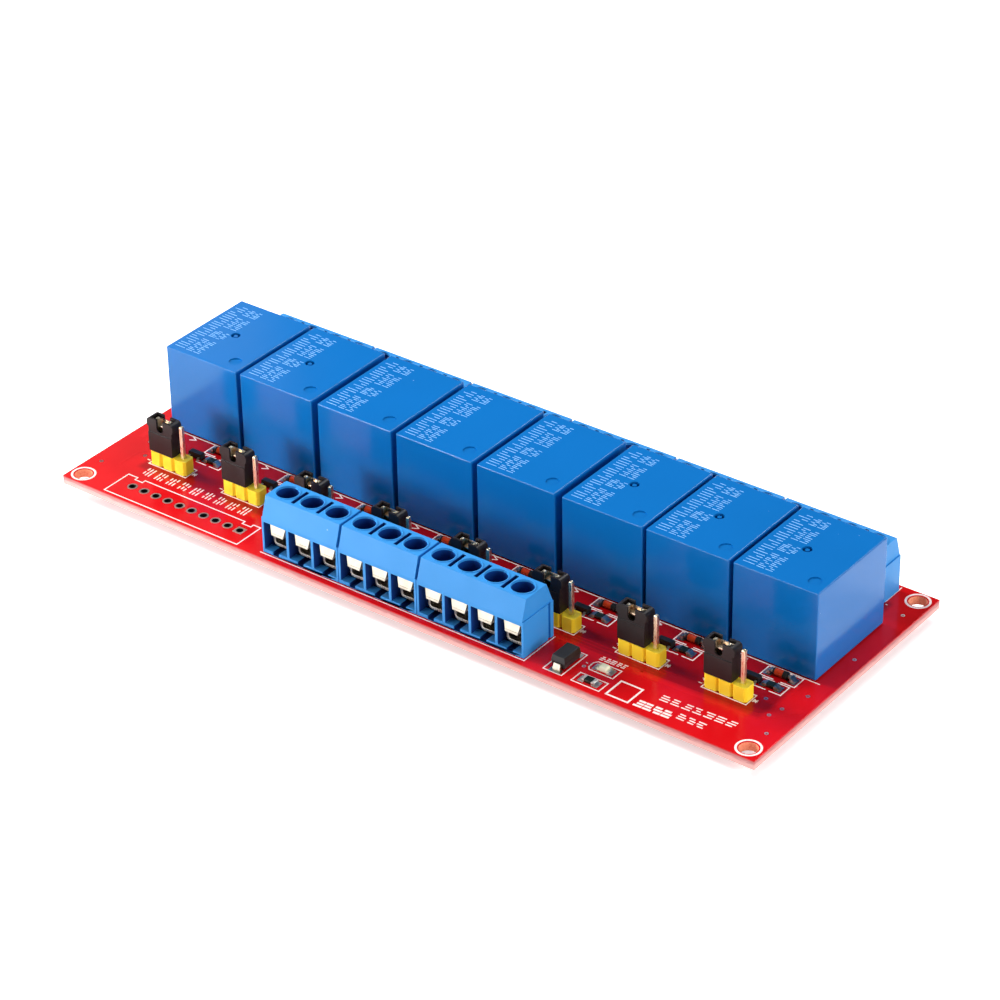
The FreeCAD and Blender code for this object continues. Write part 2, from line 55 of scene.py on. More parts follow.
MM = 0.001
BODY = "root"
CHANNELS = 8
BOARD_TOP = 1.6
PIN_PITCH = 2.54
PIN_WAYS = 3
POLE_PITCH = 5.0
END_WALL = 0.15
Point = Sequence[float]
Stroke = tuple[Point, Point]


class Axis(Enum):
    """The direction that a turned primitive stands along."""

    X = (0.0, math.pi / 2, 0.0)
    Y = (math.pi / 2, 0.0, 0.0)
    Z = (0.0, 0.0, 0.0)


@dataclass(frozen=True)
class Box:
    """The limits of a CAD node, in millimetres."""

    low: Vector
    high: Vector

    @property
    def size(self) -> Vector:
        """The extent along each axis."""
        return self.high - self.low

    @property
    def centre(self) -> Vector:
        """The middle of the box."""
        return (self.low + self.high) / 2


def node_box(name: str) -> Box:
    """Reads the limits of a CAD node.

    Args:
        name: The node's name.

    Returns:
        Its box in millimetres.
    """
    low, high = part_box(name)
    return Box(low / MM, high / MM)


def deselect_all() -> None:
    """Leaves nothing selected, so that the next operator meets one piece only."""
    if bpy.context.object is not None and bpy.context.object.mode != "OBJECT":
        bpy.ops.object.mode_set(mode="OBJECT")
    bpy.ops.object.select_all(action="DESELECT")


def choose(*pieces: bpy.types.Object) -> None:
    """Selects some pieces and makes the first one active."""
    deselect_all()
    for piece in pieces:
        piece.select_set(True)
    bpy.context.view_layer.objects.active = pieces[0]


def settle(name: str) -> bpy.types.Object:
    """Names the active object and moves its place into its mesh.

    Args:
        name: The name that it gets.

    Returns:
        The object, at the origin and unturned.
    """
    piece = bpy.context.active_object
    piece.name = name
    piece.data.name = name
    bpy.ops.object.transform_apply(location=True, rotation=True, scale=True)
    return piece


def add_block(name: str, low: Point, high: Point) -> bpy.types.Object:
    """Adds a cube primitive between two corners, in millimetres."""
    deselect_all()
    centre = (Vector(low) + Vector(high)) / 2 * MM
    bpy.ops.mesh.primitive_cube_add(size=1, location=centre, scale=(Vector(high) - Vector(low)) * MM)
    return settle(name)


def add_rod(name: str, centre: Point, radius: float, length: float, axis: Axis = Axis.Z,
            sides: int = 48, tilt: float = 0.0) -> bpy.types.Object:
    """Adds a cylinder primitive around a centre, in millimetres, tilted about X in degrees."""
    deselect_all()
    turn = (axis.value[0] + math.radians(tilt), axis.value[1], axis.value[2])
    bpy.ops.mesh.primitive_cylinder_add(vertices=sides, radius=radius * MM, depth=length * MM,
                                        location=Vector(centre) * MM, rotation=turn)
    return settle(name)


def add_ring(name: str, centre: Point, inner: float, outer: float, height: float,
             sides: int = 48) -> bpy.types.Object:
    """Adds a flat washer: a cylinder whose two ends are inset and bridged."""
    piece = add_rod(name, centre, outer, height, sides=sides)
    with editing(piece, "FACE"):
        select_faces(piece, lambda middle, normal: abs(normal.z) > 0.9)
        bpy.ops.mesh.inset(thickness=(outer - inner) * MM)
        bpy.ops.mesh.bridge_edge_loops()
    return piece


@contextmanager
def editing(piece: bpy.types.Object, mode: str) -> Iterator[None]:
    """Opens edit mode on one piece with nothing selected.

    Args:
        piece: The mesh object to edit.
        mode: VERT, EDGE or FACE.
    """
    choose(piece)
    bpy.ops.object.mode_set(mode="EDIT")
    bpy.ops.mesh.select_mode(type=mode)
    bpy.ops.mesh.select_all(action="DESELECT")
    yield
    bpy.ops.object.mode_set(mode="OBJECT")


def select_faces(piece: bpy.types.Object, wanted: Callable[[Vector, Vector], bool]) -> None:
    """Selects the faces whose middle (mm) and normal pass a test."""
    mesh = bmesh.from_edit_mesh(piece.data)
    for face in mesh.faces:
        face.select_set(wanted(face.calc_center_median() / MM, face.normal))
    bmesh.update_edit_mesh(piece.data)


def select_edges(piece: bpy.types.Object, wanted: Callable[[Vector, Vector], bool]) -> None:
    """Selects the edges whose two ends (mm) pass a test."""
    mesh = bmesh.from_edit_mesh(piece.data)
    for edge in mesh.edges:
        edge.select_set(wanted(edge.verts[0].co / MM, edge.verts[1].co / MM))
    bmesh.update_edit_mesh(piece.data)


def select_points(piece: bpy.types.Object, wanted: Callable[[Vector], bool]) -> None:
    """Selects the vertices whose place (mm) passes a test."""
    mesh = bmesh.from_edit_mesh(piece.data)
    for point in mesh.verts:
        point.select_set(wanted(point.co / MM))
    mesh.select_flush(True)
    bmesh.update_edit_mesh(piece.data)


def shift(vector: Point) -> None:
    """Moves what is selected, in millimetres."""
    bpy.ops.transform.translate(value=Vector(vector) * MM)


def extrude(vector: Point) -> None:
    """Pulls a new skin out of the selected faces, in millimetres."""
    bpy.ops.mesh.extrude_region_move(TRANSFORM_OT_translate={"value": Vector(vector) * MM})


def stretch(factors: Point, centre: Point) -> None:
    """Scales what is selected about a centre, in millimetres."""
    bpy.ops.transform.resize(value=factors, center_override=Vector(centre) * MM)


def bevel_selected(width: float, segments: int = 2) -> None:
    """Rounds the selected edges by a width in millimetres."""
    bpy.ops.mesh.bevel(offset=width * MM, segments=segments, affect="EDGES", clamp_overlap=True)


def discard(*pieces: bpy.types.Object) -> None:
    """Removes pieces that have served, such as cutters and samples."""
    for piece in pieces:
        bpy.data.objects.remove(piece, do_unlink=True)


def apply_modifier(piece: bpy.types.Object, kind: str, **settings: Any) -> None:
    """Adds one modifier with its settings and applies it."""
    choose(piece)
    modifier = piece.modifiers.new(kind.lower(), kind)
    for key, value in settings.items():
        setattr(modifier, key, value)
    bpy.ops.object.modifier_apply(modifier=modifier.name)


def round_edges(piece: bpy.types.Object, width: float, segments: int = 2, angle: float = 35.0) -> None:
    """Rounds every edge sharper than an angle, as a mould or a worn tool leaves it."""
    apply_modifier(piece, "BEVEL", width=width * MM, segments=segments, limit_method="ANGLE",
                   angle_limit=math.radians(angle), use_clamp_overlap=True)


def carve(piece: bpy.types.Object, *cutters: bpy.types.Object) -> None:
    """Cuts pieces out of another and removes them."""
    for cutter in cutters:
        apply_modifier(piece, "BOOLEAN", operation="DIFFERENCE", solver="EXACT", object=cutter)
        discard(cutter)


def fused(piece: bpy.types.Object, *others: bpy.types.Object) -> bpy.types.Object:
    """Makes one closed skin of pieces that overlap."""
    for other in others:
        apply_modifier(piece, "BOOLEAN", operation="UNION", solver="EXACT", object=other)
        discard(other)
    return piece


def joined(name: str, pieces: Sequence[bpy.types.Object]) -> bpy.types.Object:
    """Joins pieces into one object with separate shells."""
    choose(*pieces)
    if len(pieces) > 1:
        bpy.ops.object.join()
    return settle(name)


def copied(piece: bpy.types.Object, name: str, place: Matrix | None = None) -> bpy.types.Object:
    """Copies a piece with a mesh of its own, moved by a matrix in millimetres."""
    copy = piece.copy()
    copy.data = piece.data.copy()
    copy.name = name
    copy.data.name = name
    if place is not None:
        scaled = place.copy()
        scaled.translation *= MM
        copy.data.transform(scaled)
    bpy.context.collection.objects.link(copy)
    return copy


def at(x: float, y: float, z: float = 0.0, turn: float = 0.0) -> Matrix:
    """A place in millimetres with a turn about Z in degrees."""
    return Matrix.Translation((x, y, z)) @ Matrix.Rotation(math.radians(turn), 4, "Z")


def draw_strokes(name: str, strokes: Sequence[Stroke], width: float, low: float,
                 high: float) -> bpy.types.Object:
    """Lays printed strokes on a level face, each a thin bar from one point to another.

    Args:
        name: The name of the piece.
        strokes: Pairs of points in X and Y.
        width: The width of each stroke.
        low: The level of the face.
        high: The level of the ink.

    Returns:
        One piece with every stroke.
    """
    deselect_all()
    for number, (start, end) in enumerate(strokes):
        run = Vector(end) - Vector(start)
        middle = (Vector(start) + Vector(end)) / 2
        bpy.ops.mesh.primitive_cube_add(
            size=1, location=Vector((middle.x, middle.y, (low + high) / 2)) * MM,
            rotation=(0, 0, math.atan2(run.y, run.x)),
            scale=Vector((run.length + width, width, high - low)) * MM)
        if number == 0:
            settle(name)
            bpy.ops.object.mode_set(mode="EDIT")
    bpy.ops.mesh.select_all(action="SELECT")
    bpy.ops.mesh.intersect_boolean(operation="UNION", use_self=True, solver="EXACT")
    bpy.ops.object.mode_set(mode="OBJECT")
    return bpy.context.object


def outline(points: Sequence[Point], closed: bool = True) -> list[Stroke]:
    """The strokes along a run of points."""
    ends = list(points[1:]) + ([points[0]] if closed else [])
    return list(zip(points, ends))


def present(piece: bpy.types.Object, material: bpy.types.Material, slot: str, *nodes: str,
            angle: float = 35.0) -> None:
    """Finishes a piece: its material, smooth shading, and its place in the frame.

    Args:
        piece: The piece.
        material: Its finish.
        slot: The record's material slot; not used.
        nodes: The CAD nodes that it stands for.
        angle: The angle below which its edges are shaded smooth.
    """
    if not piece.data.materials:
        piece.data.materials.append(material)
    choose(piece)
    bpy.ops.object.shade_smooth_by_angle(angle=math.radians(angle))
    apply_modifier(piece, "WEIGHTED_NORMAL", keep_sharp=True)
    # Faces with more than four corners are split here, because a mesh export can fill their notches.
    apply_modifier(piece, "TRIANGULATE", min_vertices=5, keep_custom_normals=True)
    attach(piece, BODY)
    if nodes:
        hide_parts(*nodes)
    log.info("%s: %d faces", piece.name, len(piece.data.polygons))


def dress(node: str, material: bpy.types.Material) -> None:
    """Gives a CAD node that stays in view its finish."""
    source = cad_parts[node]
    source.data.materials.clear()
    source.data.materials.append(material)
    log.info("%s: dressed", node)


def linear(colour: str) -> tuple[float, float, float, float]:
    """Turns an sRGB hex colour into linear values.

    Args:
        colour: Six hex digits after a hash sign.

    Returns:
        Red, green, blue and alpha.
    """
    values = [int(colour[start:start + 2], 16) / 255 for start in (1, 3, 5)]
    turned = [v / 12.92 if v <= 0.04045 else ((v + 0.055) / 1.055) ** 2.4 for v in values]
    return (*turned, 1.0)


def per_mm(size: float) -> float:
    """The scale of a pattern on Object coordinates whose cells are some millimetres wide."""
    return 1.0 / (size * MM)


def bands_per_mm(size: float) -> float:
    """The scale of a wave pattern whose bands are some millimetres apart."""
    return math.pi / 10 * per_mm(size)


class Tree:
    """The nodes of one new material, with its shader and its Object coordinates."""

    def __init__(self, name: str) -> None:
        """Starts a material with a lone Principled shader."""
        self.material = bpy.data.materials.new(name)
        self.material.use_nodes = True
        self.nodes = self.material.node_tree.nodes
        self.links = self.material.node_tree.links
        self.shader = self.nodes["Principled BSDF"]
        self.place = self.add("TexCoord").outputs["Object"]

    def add(self, kind: str, settings: dict[str, Any] | None = None,
            inputs: dict[Any, Any] | None = None) -> bpy.types.Node:
        """Adds a node with its settings and links.

        Args:
            kind: The node's type without its common prefix.
            settings: Its own properties.
            inputs: Its sockets, each with a value or with the socket that feeds it.

        Returns:
            The node.
        """
        made = self.nodes.new("ShaderNode" + kind)
        for key, value in (settings or {}).items():
            setattr(made, key, value)
        self.connect(made, inputs or {})
        return made

    def connect(self, node: bpy.types.Node, inputs: dict[Any, Any]) -> None:
        """Sets or links some sockets of a node."""
        for key, value in inputs.items():
            if isinstance(value, bpy.types.NodeSocket):
                self.links.new(value, node.inputs[key])
            else:
                node.inputs[key].default_value = value


@dataclass(frozen=True)
class MouldedPlastic:
    """Injection moulded plastic: even colour, soft sink waves, fine grain and stray dust.

    Polished mould walls give it a gloss that reflects the floor, broken by slow waves.
    """

    name: str
    colour: str
    shade: str
    roughness: float = 0.3
    spread: float = 0.12
    wave: float = 6.0
    wave_depth: float = 0.03
    grain: float = 0.3
    grain_depth: float = 0.003
    dust: str = "#9fc4ee"
    dust_share: float = 0.5
    mirror: float = 0.5

    def build(self) -> bpy.types.Material:
        """Builds the material.

        Returns:
            A material with colour drift, uneven gloss, dust specks and a moulded surface.
        """
        tree = Tree(self.name)
        slow = tree.add("TexNoise", inputs={
            "Vector": tree.place, "Scale": per_mm(self.wave), "Detail": 1.0})
        drift = tree.add("MapRange", inputs={"Value": slow.outputs["Fac"], "From Min": 0.2, "From Max": 0.8})
        body = tree.add("Mix", {"data_type": "RGBA"}, {
            0: drift.outputs[0], 6: linear(self.colour), 7: linear(self.shade)})
        cells = tree.add("TexVoronoi", inputs={"Vector": tree.place, "Scale": per_mm(2.4)})
        patches = tree.add("TexNoise", inputs={"Vector": tree.place, "Scale": per_mm(4.1), "Detail": 1.0})
        reach = tree.add("MapRange", inputs={
            "Value": patches.outputs["Fac"], "From Min": 0.5, "From Max": 0.8, "To Min": 0.0, "To Max": 0.07})
        speck = tree.add("Math", {"operation": "LESS_THAN"}, {
            0: cells.outputs["Distance"], 1: reach.outputs[0]})
        share = tree.add("Math", {"operation": "MULTIPLY"}, {0: speck.outputs[0], 1: self.dust_share})
        colour = tree.add("Mix", {"data_type": "RGBA"}, {
            0: share.outputs[0], 6: body.outputs[2], 7: linear(self.dust)})
        gloss = tree.add("MapRange", inputs={
            "Value": patches.outputs["Fac"], "From Min": 0.15, "From Max": 0.85,
            "To Min": self.roughness, "To Max": self.roughness + self.spread})
        waves = tree.add("Bump", inputs={
            "Height": slow.outputs["Fac"], "Distance": self.wave_depth * MM, "Strength": 1.0})
        fine = tree.add("TexNoise", inputs={"Vector": tree.place, "Scale": per_mm(self.grain), "Detail": 2.0})
        surface = tree.add("Bump", inputs={
            "Height": fine.outputs["Fac"], "Distance": self.grain_depth * MM, "Normal": waves.outputs[0]})
        tree.connect(tree.shader, {
            "Base Color": colour.outputs[2], "Roughness": gloss.outputs[0], "Normal": surface.outputs[0],
            "IOR": 1.5, "Specular IOR Level": self.mirror})
        return tree.material


@dataclass(frozen=True)
class PlatedMetal:
    """Rolled or drawn metal under a thin plating, marked by fine lines along Z."""

    name: str
    colour: str
    shade: str
    roughness: float = 0.25
    spread: float = 0.15
    line: float = 0.15
    line_depth: float = 0.004

    def build(self) -> bpy.types.Material:
        """Builds the material.

        Returns:
            A metal with drawn lines, dull patches and a slight tint.
        """
        tree = Tree(self.name)
        patches = tree.add("TexNoise", inputs={"Vector": tree.place, "Scale": per_mm(1.4), "Detail": 3.0})
        tint = tree.add("MapRange", inputs={
            "Value": patches.outputs["Fac"], "From Min": 0.35, "From Max": 0.65})
        colour = tree.add("Mix", {"data_type": "RGBA"}, {
            0: tint.outputs[0], 6: linear(self.colour), 7: linear(self.shade)})
        drawn = tree.add("Mapping", inputs={"Vector": tree.place, "Scale": (1.0, 1.0, 0.15)})
        lines = tree.add("TexNoise", inputs={
            "Vector": drawn.outputs[0], "Scale": per_mm(self.line), "Detail": 2.0})
        gloss = tree.add("MapRange", inputs={
            "Value": lines.outputs["Fac"], "From Min": 0.3, "From Max": 0.7,
            "To Min": self.roughness, "To Max": self.roughness + self.spread})
        surface = tree.add("Bump", inputs={"Height": lines.outputs["Fac"], "Distance": self.line_depth * MM})
        tree.connect(tree.shader, {
            "Base Color": colour.outputs[2], "Metallic": 1.0, "Roughness": gloss.outputs[0],
            "Normal": surface.outputs[0]})
        return tree.material


@dataclass(frozen=True)
class VarnishedBoard:
    """Glass cloth laminate under glossy red solder varnish, with bare sawn edges.

    The varnish is smooth and thick enough to mirror what stands on it. It is bright over the poured copper
    along the edges. In front of the relays it turns a deep red, partly for the laminate without copper below
    and partly as painted shade where the relays' shadow falls.
    The cut edge is pale below and shows the layers of cloth as fine brown lines, and the varnish
    stains its upper layers.
    """

    name: str = "red_varnished_laminate"
    colour: str = "#cb1016"
    shade: str = "#c20b12"
    # deep red in front of the relays: partly the laminate without copper, partly painted shadow of the relays
    deep: str = "#96070d"
    shadow_and_laminate_zone: tuple[float, float, float, float] = (-60.0, 61.6, -17.2, 20.0)
    soft: float = 1.3
    edge: str = "#e6b2ac"
    edge_core: str = "#c27c7c"
    thickness: float = BOARD_TOP
    film: float = 0.06
    stain: float = 0.4
    pale: float = 0.75

    def build(self) -> bpy.types.Material:
        """Builds the material.

        Returns:
            Red varnish on the two faces and the sawn cloth between them.
        """
        tree = Tree(self.name)
        pour = tree.add("TexNoise", inputs={"Vector": tree.place, "Scale": per_mm(8.0), "Detail": 3.0})
        drift = tree.add("MapRange", inputs={
            "Value": pour.outputs["Fac"], "From Min": 0.35, "From Max": 0.65})
        varnish = tree.add("Mix", {"data_type": "RGBA"}, {
            0: drift.outputs[0], 6: linear(self.colour), 7: linear(self.shade)})
        level = tree.add("SeparateXYZ", inputs={0: tree.place})
        # Painted shade: the area in front of the relays is mixed towards the deep red, both for the laminate
        # without copper and for the relays' shadow.
        left, right, front, rear = self.shadow_and_laminate_zone
        sides = [tree.add("MapRange", {"interpolation_type": "SMOOTHSTEP"}, {
            "Value": level.outputs[axis], "From Min": start * MM, "From Max": end * MM})
            for axis, start, end in (("X", left, left + self.soft), ("X", right + self.soft, right),
                                     ("Y", front, front + self.soft), ("Y", rear + self.soft, rear))]
        across = tree.add("Math", {"operation": "MULTIPLY"}, {0: sides[0].outputs[0], 1: sides[1].outputs[0]})
        along = tree.add("Math", {"operation": "MULTIPLY"}, {0: sides[2].outputs[0], 1: sides[3].outputs[0]})
        bare = tree.add("Math", {"operation": "MULTIPLY"}, {0: across.outputs[0], 1: along.outputs[0]})
        varnish = tree.add("Mix", {"data_type": "RGBA"}, {
            0: bare.outputs[0], 6: varnish.outputs[2], 7: linear(self.deep)})
        sheet = tree.add("Mapping", inputs={"Vector": tree.place, "Scale": (0.12, 0.12, 1.0)})
        layers = tree.add("TexNoise", inputs={
            "Vector": sheet.outputs[0], "Scale": per_mm(0.22), "Detail": 3.0, "Roughness": 0.6})
        depth = tree.add("MapRange", inputs={
            "Value": level.outputs["Z"], "From Min": (self.pale - 0.3) * MM,
            "From Max": (self.pale + 0.5) * MM, "To Min": -0.3, "To Max": 0.4})
        height = tree.add("Math", {"operation": "ADD"}, {0: layers.outputs["Fac"], 1: depth.outputs[0]})
        cut = tree.add("MapRange", inputs={"Value": height.outputs[0], "From Min": 0.3, "From Max": 0.75})
        sawn = tree.add("Mix", {"data_type": "RGBA"}, {
            0: cut.outputs[0], 6: linear(self.edge), 7: linear(self.edge_core)})
        above = tree.add("Math", {"operation": "GREATER_THAN"}, {0: level.outputs["Z"], 1: 0.03 * MM})
        below = tree.add("MapRange", inputs={
            "Value": level.outputs["Z"], "From Min": (self.thickness - self.film) * MM,
            "From Max": (self.thickness - self.stain) * MM})
        inside = tree.add("Math", {"operation": "MULTIPLY"}, {0: above.outputs[0], 1: below.outputs[0]})
        colour = tree.add("Mix", {"data_type": "RGBA"}, {
            0: inside.outputs[0], 6: varnish.outputs[2], 7: sawn.outputs[2]})
        gloss = tree.add("MapRange", inputs={
            "Value": inside.outputs[0], "From Min": 0.0, "From Max": 1.0, "To Min": 0.16, "To Max": 0.7})
        # threads every half millimetre, drawn a little coarser than the real cloth so that they show
        warp = tree.add("TexWave", {"bands_direction": "X"}, {
            "Vector": tree.place, "Scale": bands_per_mm(0.6), "Distortion": 0.4})
        weft = tree.add("TexWave", {"bands_direction": "Y"}, {
            "Vector": tree.place, "Scale": bands_per_mm(0.6), "Distortion": 0.4})
        cloth = tree.add("Math", {"operation": "ADD"}, {0: warp.outputs["Fac"], 1: weft.outputs["Fac"]})
        threads = tree.add("Bump", inputs={"Height": cloth.outputs[0], "Distance": 0.0012 * MM})
        surface = tree.add("Bump", inputs={
            "Height": pour.outputs["Fac"], "Distance": 0.03 * MM, "Normal": threads.outputs[0]})
        tree.connect(tree.shader, {
            "Base Color": colour.outputs[2], "Roughness": gloss.outputs[0], "Normal": surface.outputs[0],
            "IOR": 1.52, "Specular IOR Level": 0.18})
        return tree.material


@dataclass(frozen=True)
class UnevenFilm:
    """A thin film with a slightly ragged surface.

    It is screen printed ink on the board, pad printed ink on the relays, and the wall of a screw hole, whose
    red is a painted glow of the light that the red board lets through and throws back.
    """

    name: str
    colour: str
    shade: str

    def build(self) -> bpy.types.Material:
        """Builds the material.

        Returns:
            An uneven matt film.
        """
        tree = Tree(self.name)
        film = tree.add("TexNoise", inputs={"Vector": tree.place, "Scale": per_mm(0.25), "Detail": 3.0})
        thin = tree.add("MapRange", inputs={"Value": film.outputs["Fac"], "From Min": 0.42, "From Max": 0.7})
        colour = tree.add("Mix", {"data_type": "RGBA"}, {
            0: thin.outputs[0], 6: linear(self.colour), 7: linear(self.shade)})
        gloss = tree.add("MapRange", inputs={"Value": film.outputs["Fac"], "To Min": 0.4, "To Max": 0.65})
        surface = tree.add("Bump", inputs={"Height": film.outputs["Fac"], "Distance": 0.003 * MM})
        tree.connect(tree.shader, {
            "Base Color": colour.outputs[2], "Roughness": gloss.outputs[0], "Normal": surface.outputs[0],
            "IOR": 1.48})
        return tree.material


@dataclass(frozen=True)
class DiodeGlass:
    """Drawn glass of a small diode tube: orange red, clear enough to glow at its rim."""

    name: str = "orange_tube_glass"
    colour: str = "#a01c0a"
    shade: str = "#e05228"

    def build(self) -> bpy.types.Material:
        """Builds the material.

        Returns:
            A tinted glass with a slightly wavy wall.
        """
        tree = Tree(self.name)
        wall = tree.add("TexNoise", inputs={"Vector": tree.place, "Scale": per_mm(0.9), "Detail": 2.0})
        colour = tree.add("Mix", {"data_type": "RGBA"}, {
            0: wall.outputs["Fac"], 6: linear(self.colour), 7: linear(self.shade)})
        gloss = tree.add("MapRange", inputs={"Value": wall.outputs["Fac"], "To Min": 0.03, "To Max": 0.12})
        surface = tree.add("Bump", inputs={"Height": wall.outputs["Fac"], "Distance": 0.01 * MM})
        tree.connect(tree.shader, {
            "Base Color": colour.outputs[2], "Roughness": gloss.outputs[0], "Normal": surface.outputs[0],
            "IOR": 1.5, "Transmission Weight": 0.2})
        return tree.material


@dataclass(frozen=True)
class WoundCopper:
    """Enamelled copper wire wound in level turns, clear varnish over copper."""

    name: str = "enamelled_copper_turns"
    colour: str = "#b8692f"
    shade: str = "#8a4519"
    turn: float = 0.2

    def build(self) -> bpy.types.Material:
        """Builds the material.

        Returns:
            Copper with a ridge for each turn, drawn about twice as coarse as the real wire.
        """
        tree = Tree(self.name)
        turns = tree.add("TexWave", {"bands_direction": "Z"}, {
            "Vector": tree.place, "Scale": bands_per_mm(self.turn), "Distortion": 0.3})
        patches = tree.add("TexNoise", inputs={"Vector": tree.place, "Scale": per_mm(1.8)})
        colour = tree.add("Mix", {"data_type": "RGBA"}, {
            0: patches.outputs["Fac"], 6: linear(self.colour), 7: linear(self.shade)})
        gloss = tree.add("MapRange", inputs={"Value": patches.outputs["Fac"], "To Min": 0.2, "To Max": 0.4})
        surface = tree.add("Bump", inputs={"Height": turns.outputs["Fac"], "Distance": 0.05 * MM})
        tree.connect(tree.shader, {
            "Base Color": colour.outputs[2], "Metallic": 1.0, "Roughness": gloss.outputs[0],
            "Normal": surface.outputs[0], "Coat Weight": 0.6, "Coat Roughness": 0.1})
        return tree.material


@dataclass(frozen=True)
class StudioPaper:
    """Matt white backing paper, which the camera sees as plain white with soft shadows."""

    name: str = "white_backing_paper"
    colour: str = "#ececec"

    def build(self) -> bpy.types.Material:
        """Builds the material.

        Returns:
            Paper that the camera, mirrors and glass see whiter than it lights the object.
        """
        tree = Tree(self.name)
        fibres = tree.add("TexNoise", inputs={"Vector": tree.place, "Scale": per_mm(0.8), "Detail": 3.0})
        surface = tree.add("Bump", inputs={"Height": fibres.outputs["Fac"], "Distance": 0.01 * MM})
        tree.connect(tree.shader, {
            "Base Color": linear(self.colour), "Roughness": 0.9, "Normal": surface.outputs[0],
            "Specular IOR Level": 0.1})
        matt = tree.add("BsdfDiffuse", inputs={"Color": (0.9, 0.9, 0.9, 1.0)})
        lift = tree.add("Emission", inputs={"Color": (1.0, 1.0, 1.0, 1.0), "Strength": 0.5})
        bright = tree.add("AddShader", inputs={0: matt.outputs[0], 1: lift.outputs[0]})
        ray = tree.add("LightPath")
        seen = tree.add("Math", {"operation": "MAXIMUM"}, {
            0: ray.outputs["Is Camera Ray"], 1: ray.outputs["Is Glossy Ray"]})
        either = tree.add("Math", {"operation": "MAXIMUM"}, {
            0: seen.outputs[0], 1: ray.outputs["Is Transmission Ray"]})
        paper = tree.add("MixShader", inputs={
            0: either.outputs[0], 1: tree.shader.outputs[0], 2: bright.outputs[0]})
        tree.connect(tree.nodes["Material Output"], {"Surface": paper.outputs[0]})
        return tree.material


PLASTICS = {
    "terminal": MouldedPlastic("terminal_polyamide", "#368cd3", "#3087cc", 0.36, 0.14, 5.0, 0.03, 0.25,
                               0.006, dust="#bcd8f8", dust_share=0.45, mirror=0.3),
    # painted shade: the terminal plastic darkened for the bore walls
    "terminal_bore": MouldedPlastic("shaded_terminal_polyamide", "#123f88", "#10397c", 0.6, 0.1, 5.0, 0.02,
                                    0.25, 0.006, dust_share=0.1, mirror=0.2),
    "relay": MouldedPlastic("relay_cover_pbt", "#0a68b2", "#0965ad", 0.13, 0.04, 14.0, 0.008, 0.3, 0.0006,
                            dust="#8db8e6", dust_share=0.55, mirror=0.36),
    # painted shade: the terminal plastic darkened for the chambers, wells and slots
    "terminal_inside_shade": MouldedPlastic("shaded_hollow_terminal_polyamide", "#113a80", "#0e3070", 0.6, 0.1, 5.0, 0.02,
                                      0.25, 0.006, dust_share=0.1, mirror=0.2),
    "header": MouldedPlastic("yellow_header_nylon", "#ffe136", "#fdd626", 0.4, 0.15, 2.2, 0.02, 0.2, 0.006,
                             dust="#fff2a8", dust_share=0.2),
    "cap": MouldedPlastic("black_jumper_pbt", "#1d1717", "#171212", 0.34, 0.18, 2.6, 0.02, 0.2, 0.008,
                          dust="#8a8480", dust_share=0.5, mirror=0.35),
    "package": MouldedPlastic("black_epoxy_package", "#141414", "#1e1e20", 0.35, 0.2, 1.5, 0.01, 0.12, 0.006,
                              dust="#77777a", dust_share=0.4),
    "base": MouldedPlastic("dark_relay_base_pbt", "#1b2836", "#16212e", 0.5),
    "bobbin": MouldedPlastic("natural_bobbin_nylon", "#d9d2bd", "#c9c0a6", 0.4, dust_share=0.1),
    "ceramic": MouldedPlastic("glazed_resistor_ceramic", "#10140f", "#1c261d", 0.16, 0.1, 1.0, 0.005, 0.1,
                              0.002, dust="#4f6a55", dust_share=0.4),
    "lamp": MouldedPlastic("milky_lamp_resin", "#f2ead2", "#e6f0cf", 0.25, 0.1, 0.9, 0.01, 0.1, 0.003,
                           dust="#ffffff", dust_share=0.3),
}
METALS = {
    "cage": PlatedMetal("nickel_plated_steel", "#cfc8bd", "#a8a198", 0.22, 0.2),
    "screw": PlatedMetal("zinc_plated_screw_steel", "#c8c6c0", "#a9a8a6", 0.3, 0.2),
    "strip": PlatedMetal("tin_plated_copper_strip", "#d2cbbc", "#c4bcac", 0.36, 0.15, line=0.3),
    "pin": PlatedMetal("tinned_pin_brass", "#f6ead0", "#ecdab4", 0.24, 0.15),
    "clip": PlatedMetal("phosphor_bronze_clip", "#efdcc6", "#d8b58c", 0.22, 0.15),
    "lead": PlatedMetal("tinned_lead", "#dcdad6", "#bdbab5", 0.28, 0.2),
    "solder": PlatedMetal("bright_solder", "#dcdad6", "#bcbab6", 0.3, 0.14, line=0.5, line_depth=0.01),
    "pad": PlatedMetal("levelled_tin_pad", "#e6cfc6", "#d8bcb2", 0.55, 0.15, line=0.4, line_depth=0.003),
    # painted shade: the dark metal of the hole sleeves and of the ring round each hole
    "shaded_barrel": PlatedMetal("painted_shade_hole_barrel", "#34302f", "#221f1e", 0.7, 0.1),
    "iron": PlatedMetal("zinc_plated_iron", "#b9b7b0", "#8f8d88", 0.35, 0.2),
    "spring": PlatedMetal("copper_spring_leaf", "#c98a55", "#b87444", 0.25, 0.15),
}


class Finishes:
    """Every material of the module, made once and shared by its pieces."""

    def __init__(self) -> None:
        """Builds the plastics, the metals and the rest."""
        self.plastic = {key: finish.build() for key, finish in PLASTICS.items()}
        self.metal = {key: finish.build() for key, finish in METALS.items()}
        self.board = VarnishedBoard().build()
        self.ink = UnevenFilm("white_board_ink", "#f3e6e2", "#e6c9c4").build()
        self.relay_ink = UnevenFilm("pale_pad_print", "#8fc4f4", "#5f9fdc").build()
        # Screw hole walls: a painted red glow, for light that comes through and off the red board.
        self.painted_glow_liner = UnevenFilm("painted_red_glow_laminate", "#f2a07c", "#dd8060").build()
        # The tracks' varnish takes the same deep red in front of the relays: partly laminate below, partly
        # painted shadow of the relays.
        self.copper_varnish = VarnishedBoard("varnish_over_copper", "#d0131a", "#c60e14", "#aa0b12").build()
        self.glass = DiodeGlass().build()
        self.copper = WoundCopper().build()
        self.paper = StudioPaper().build()


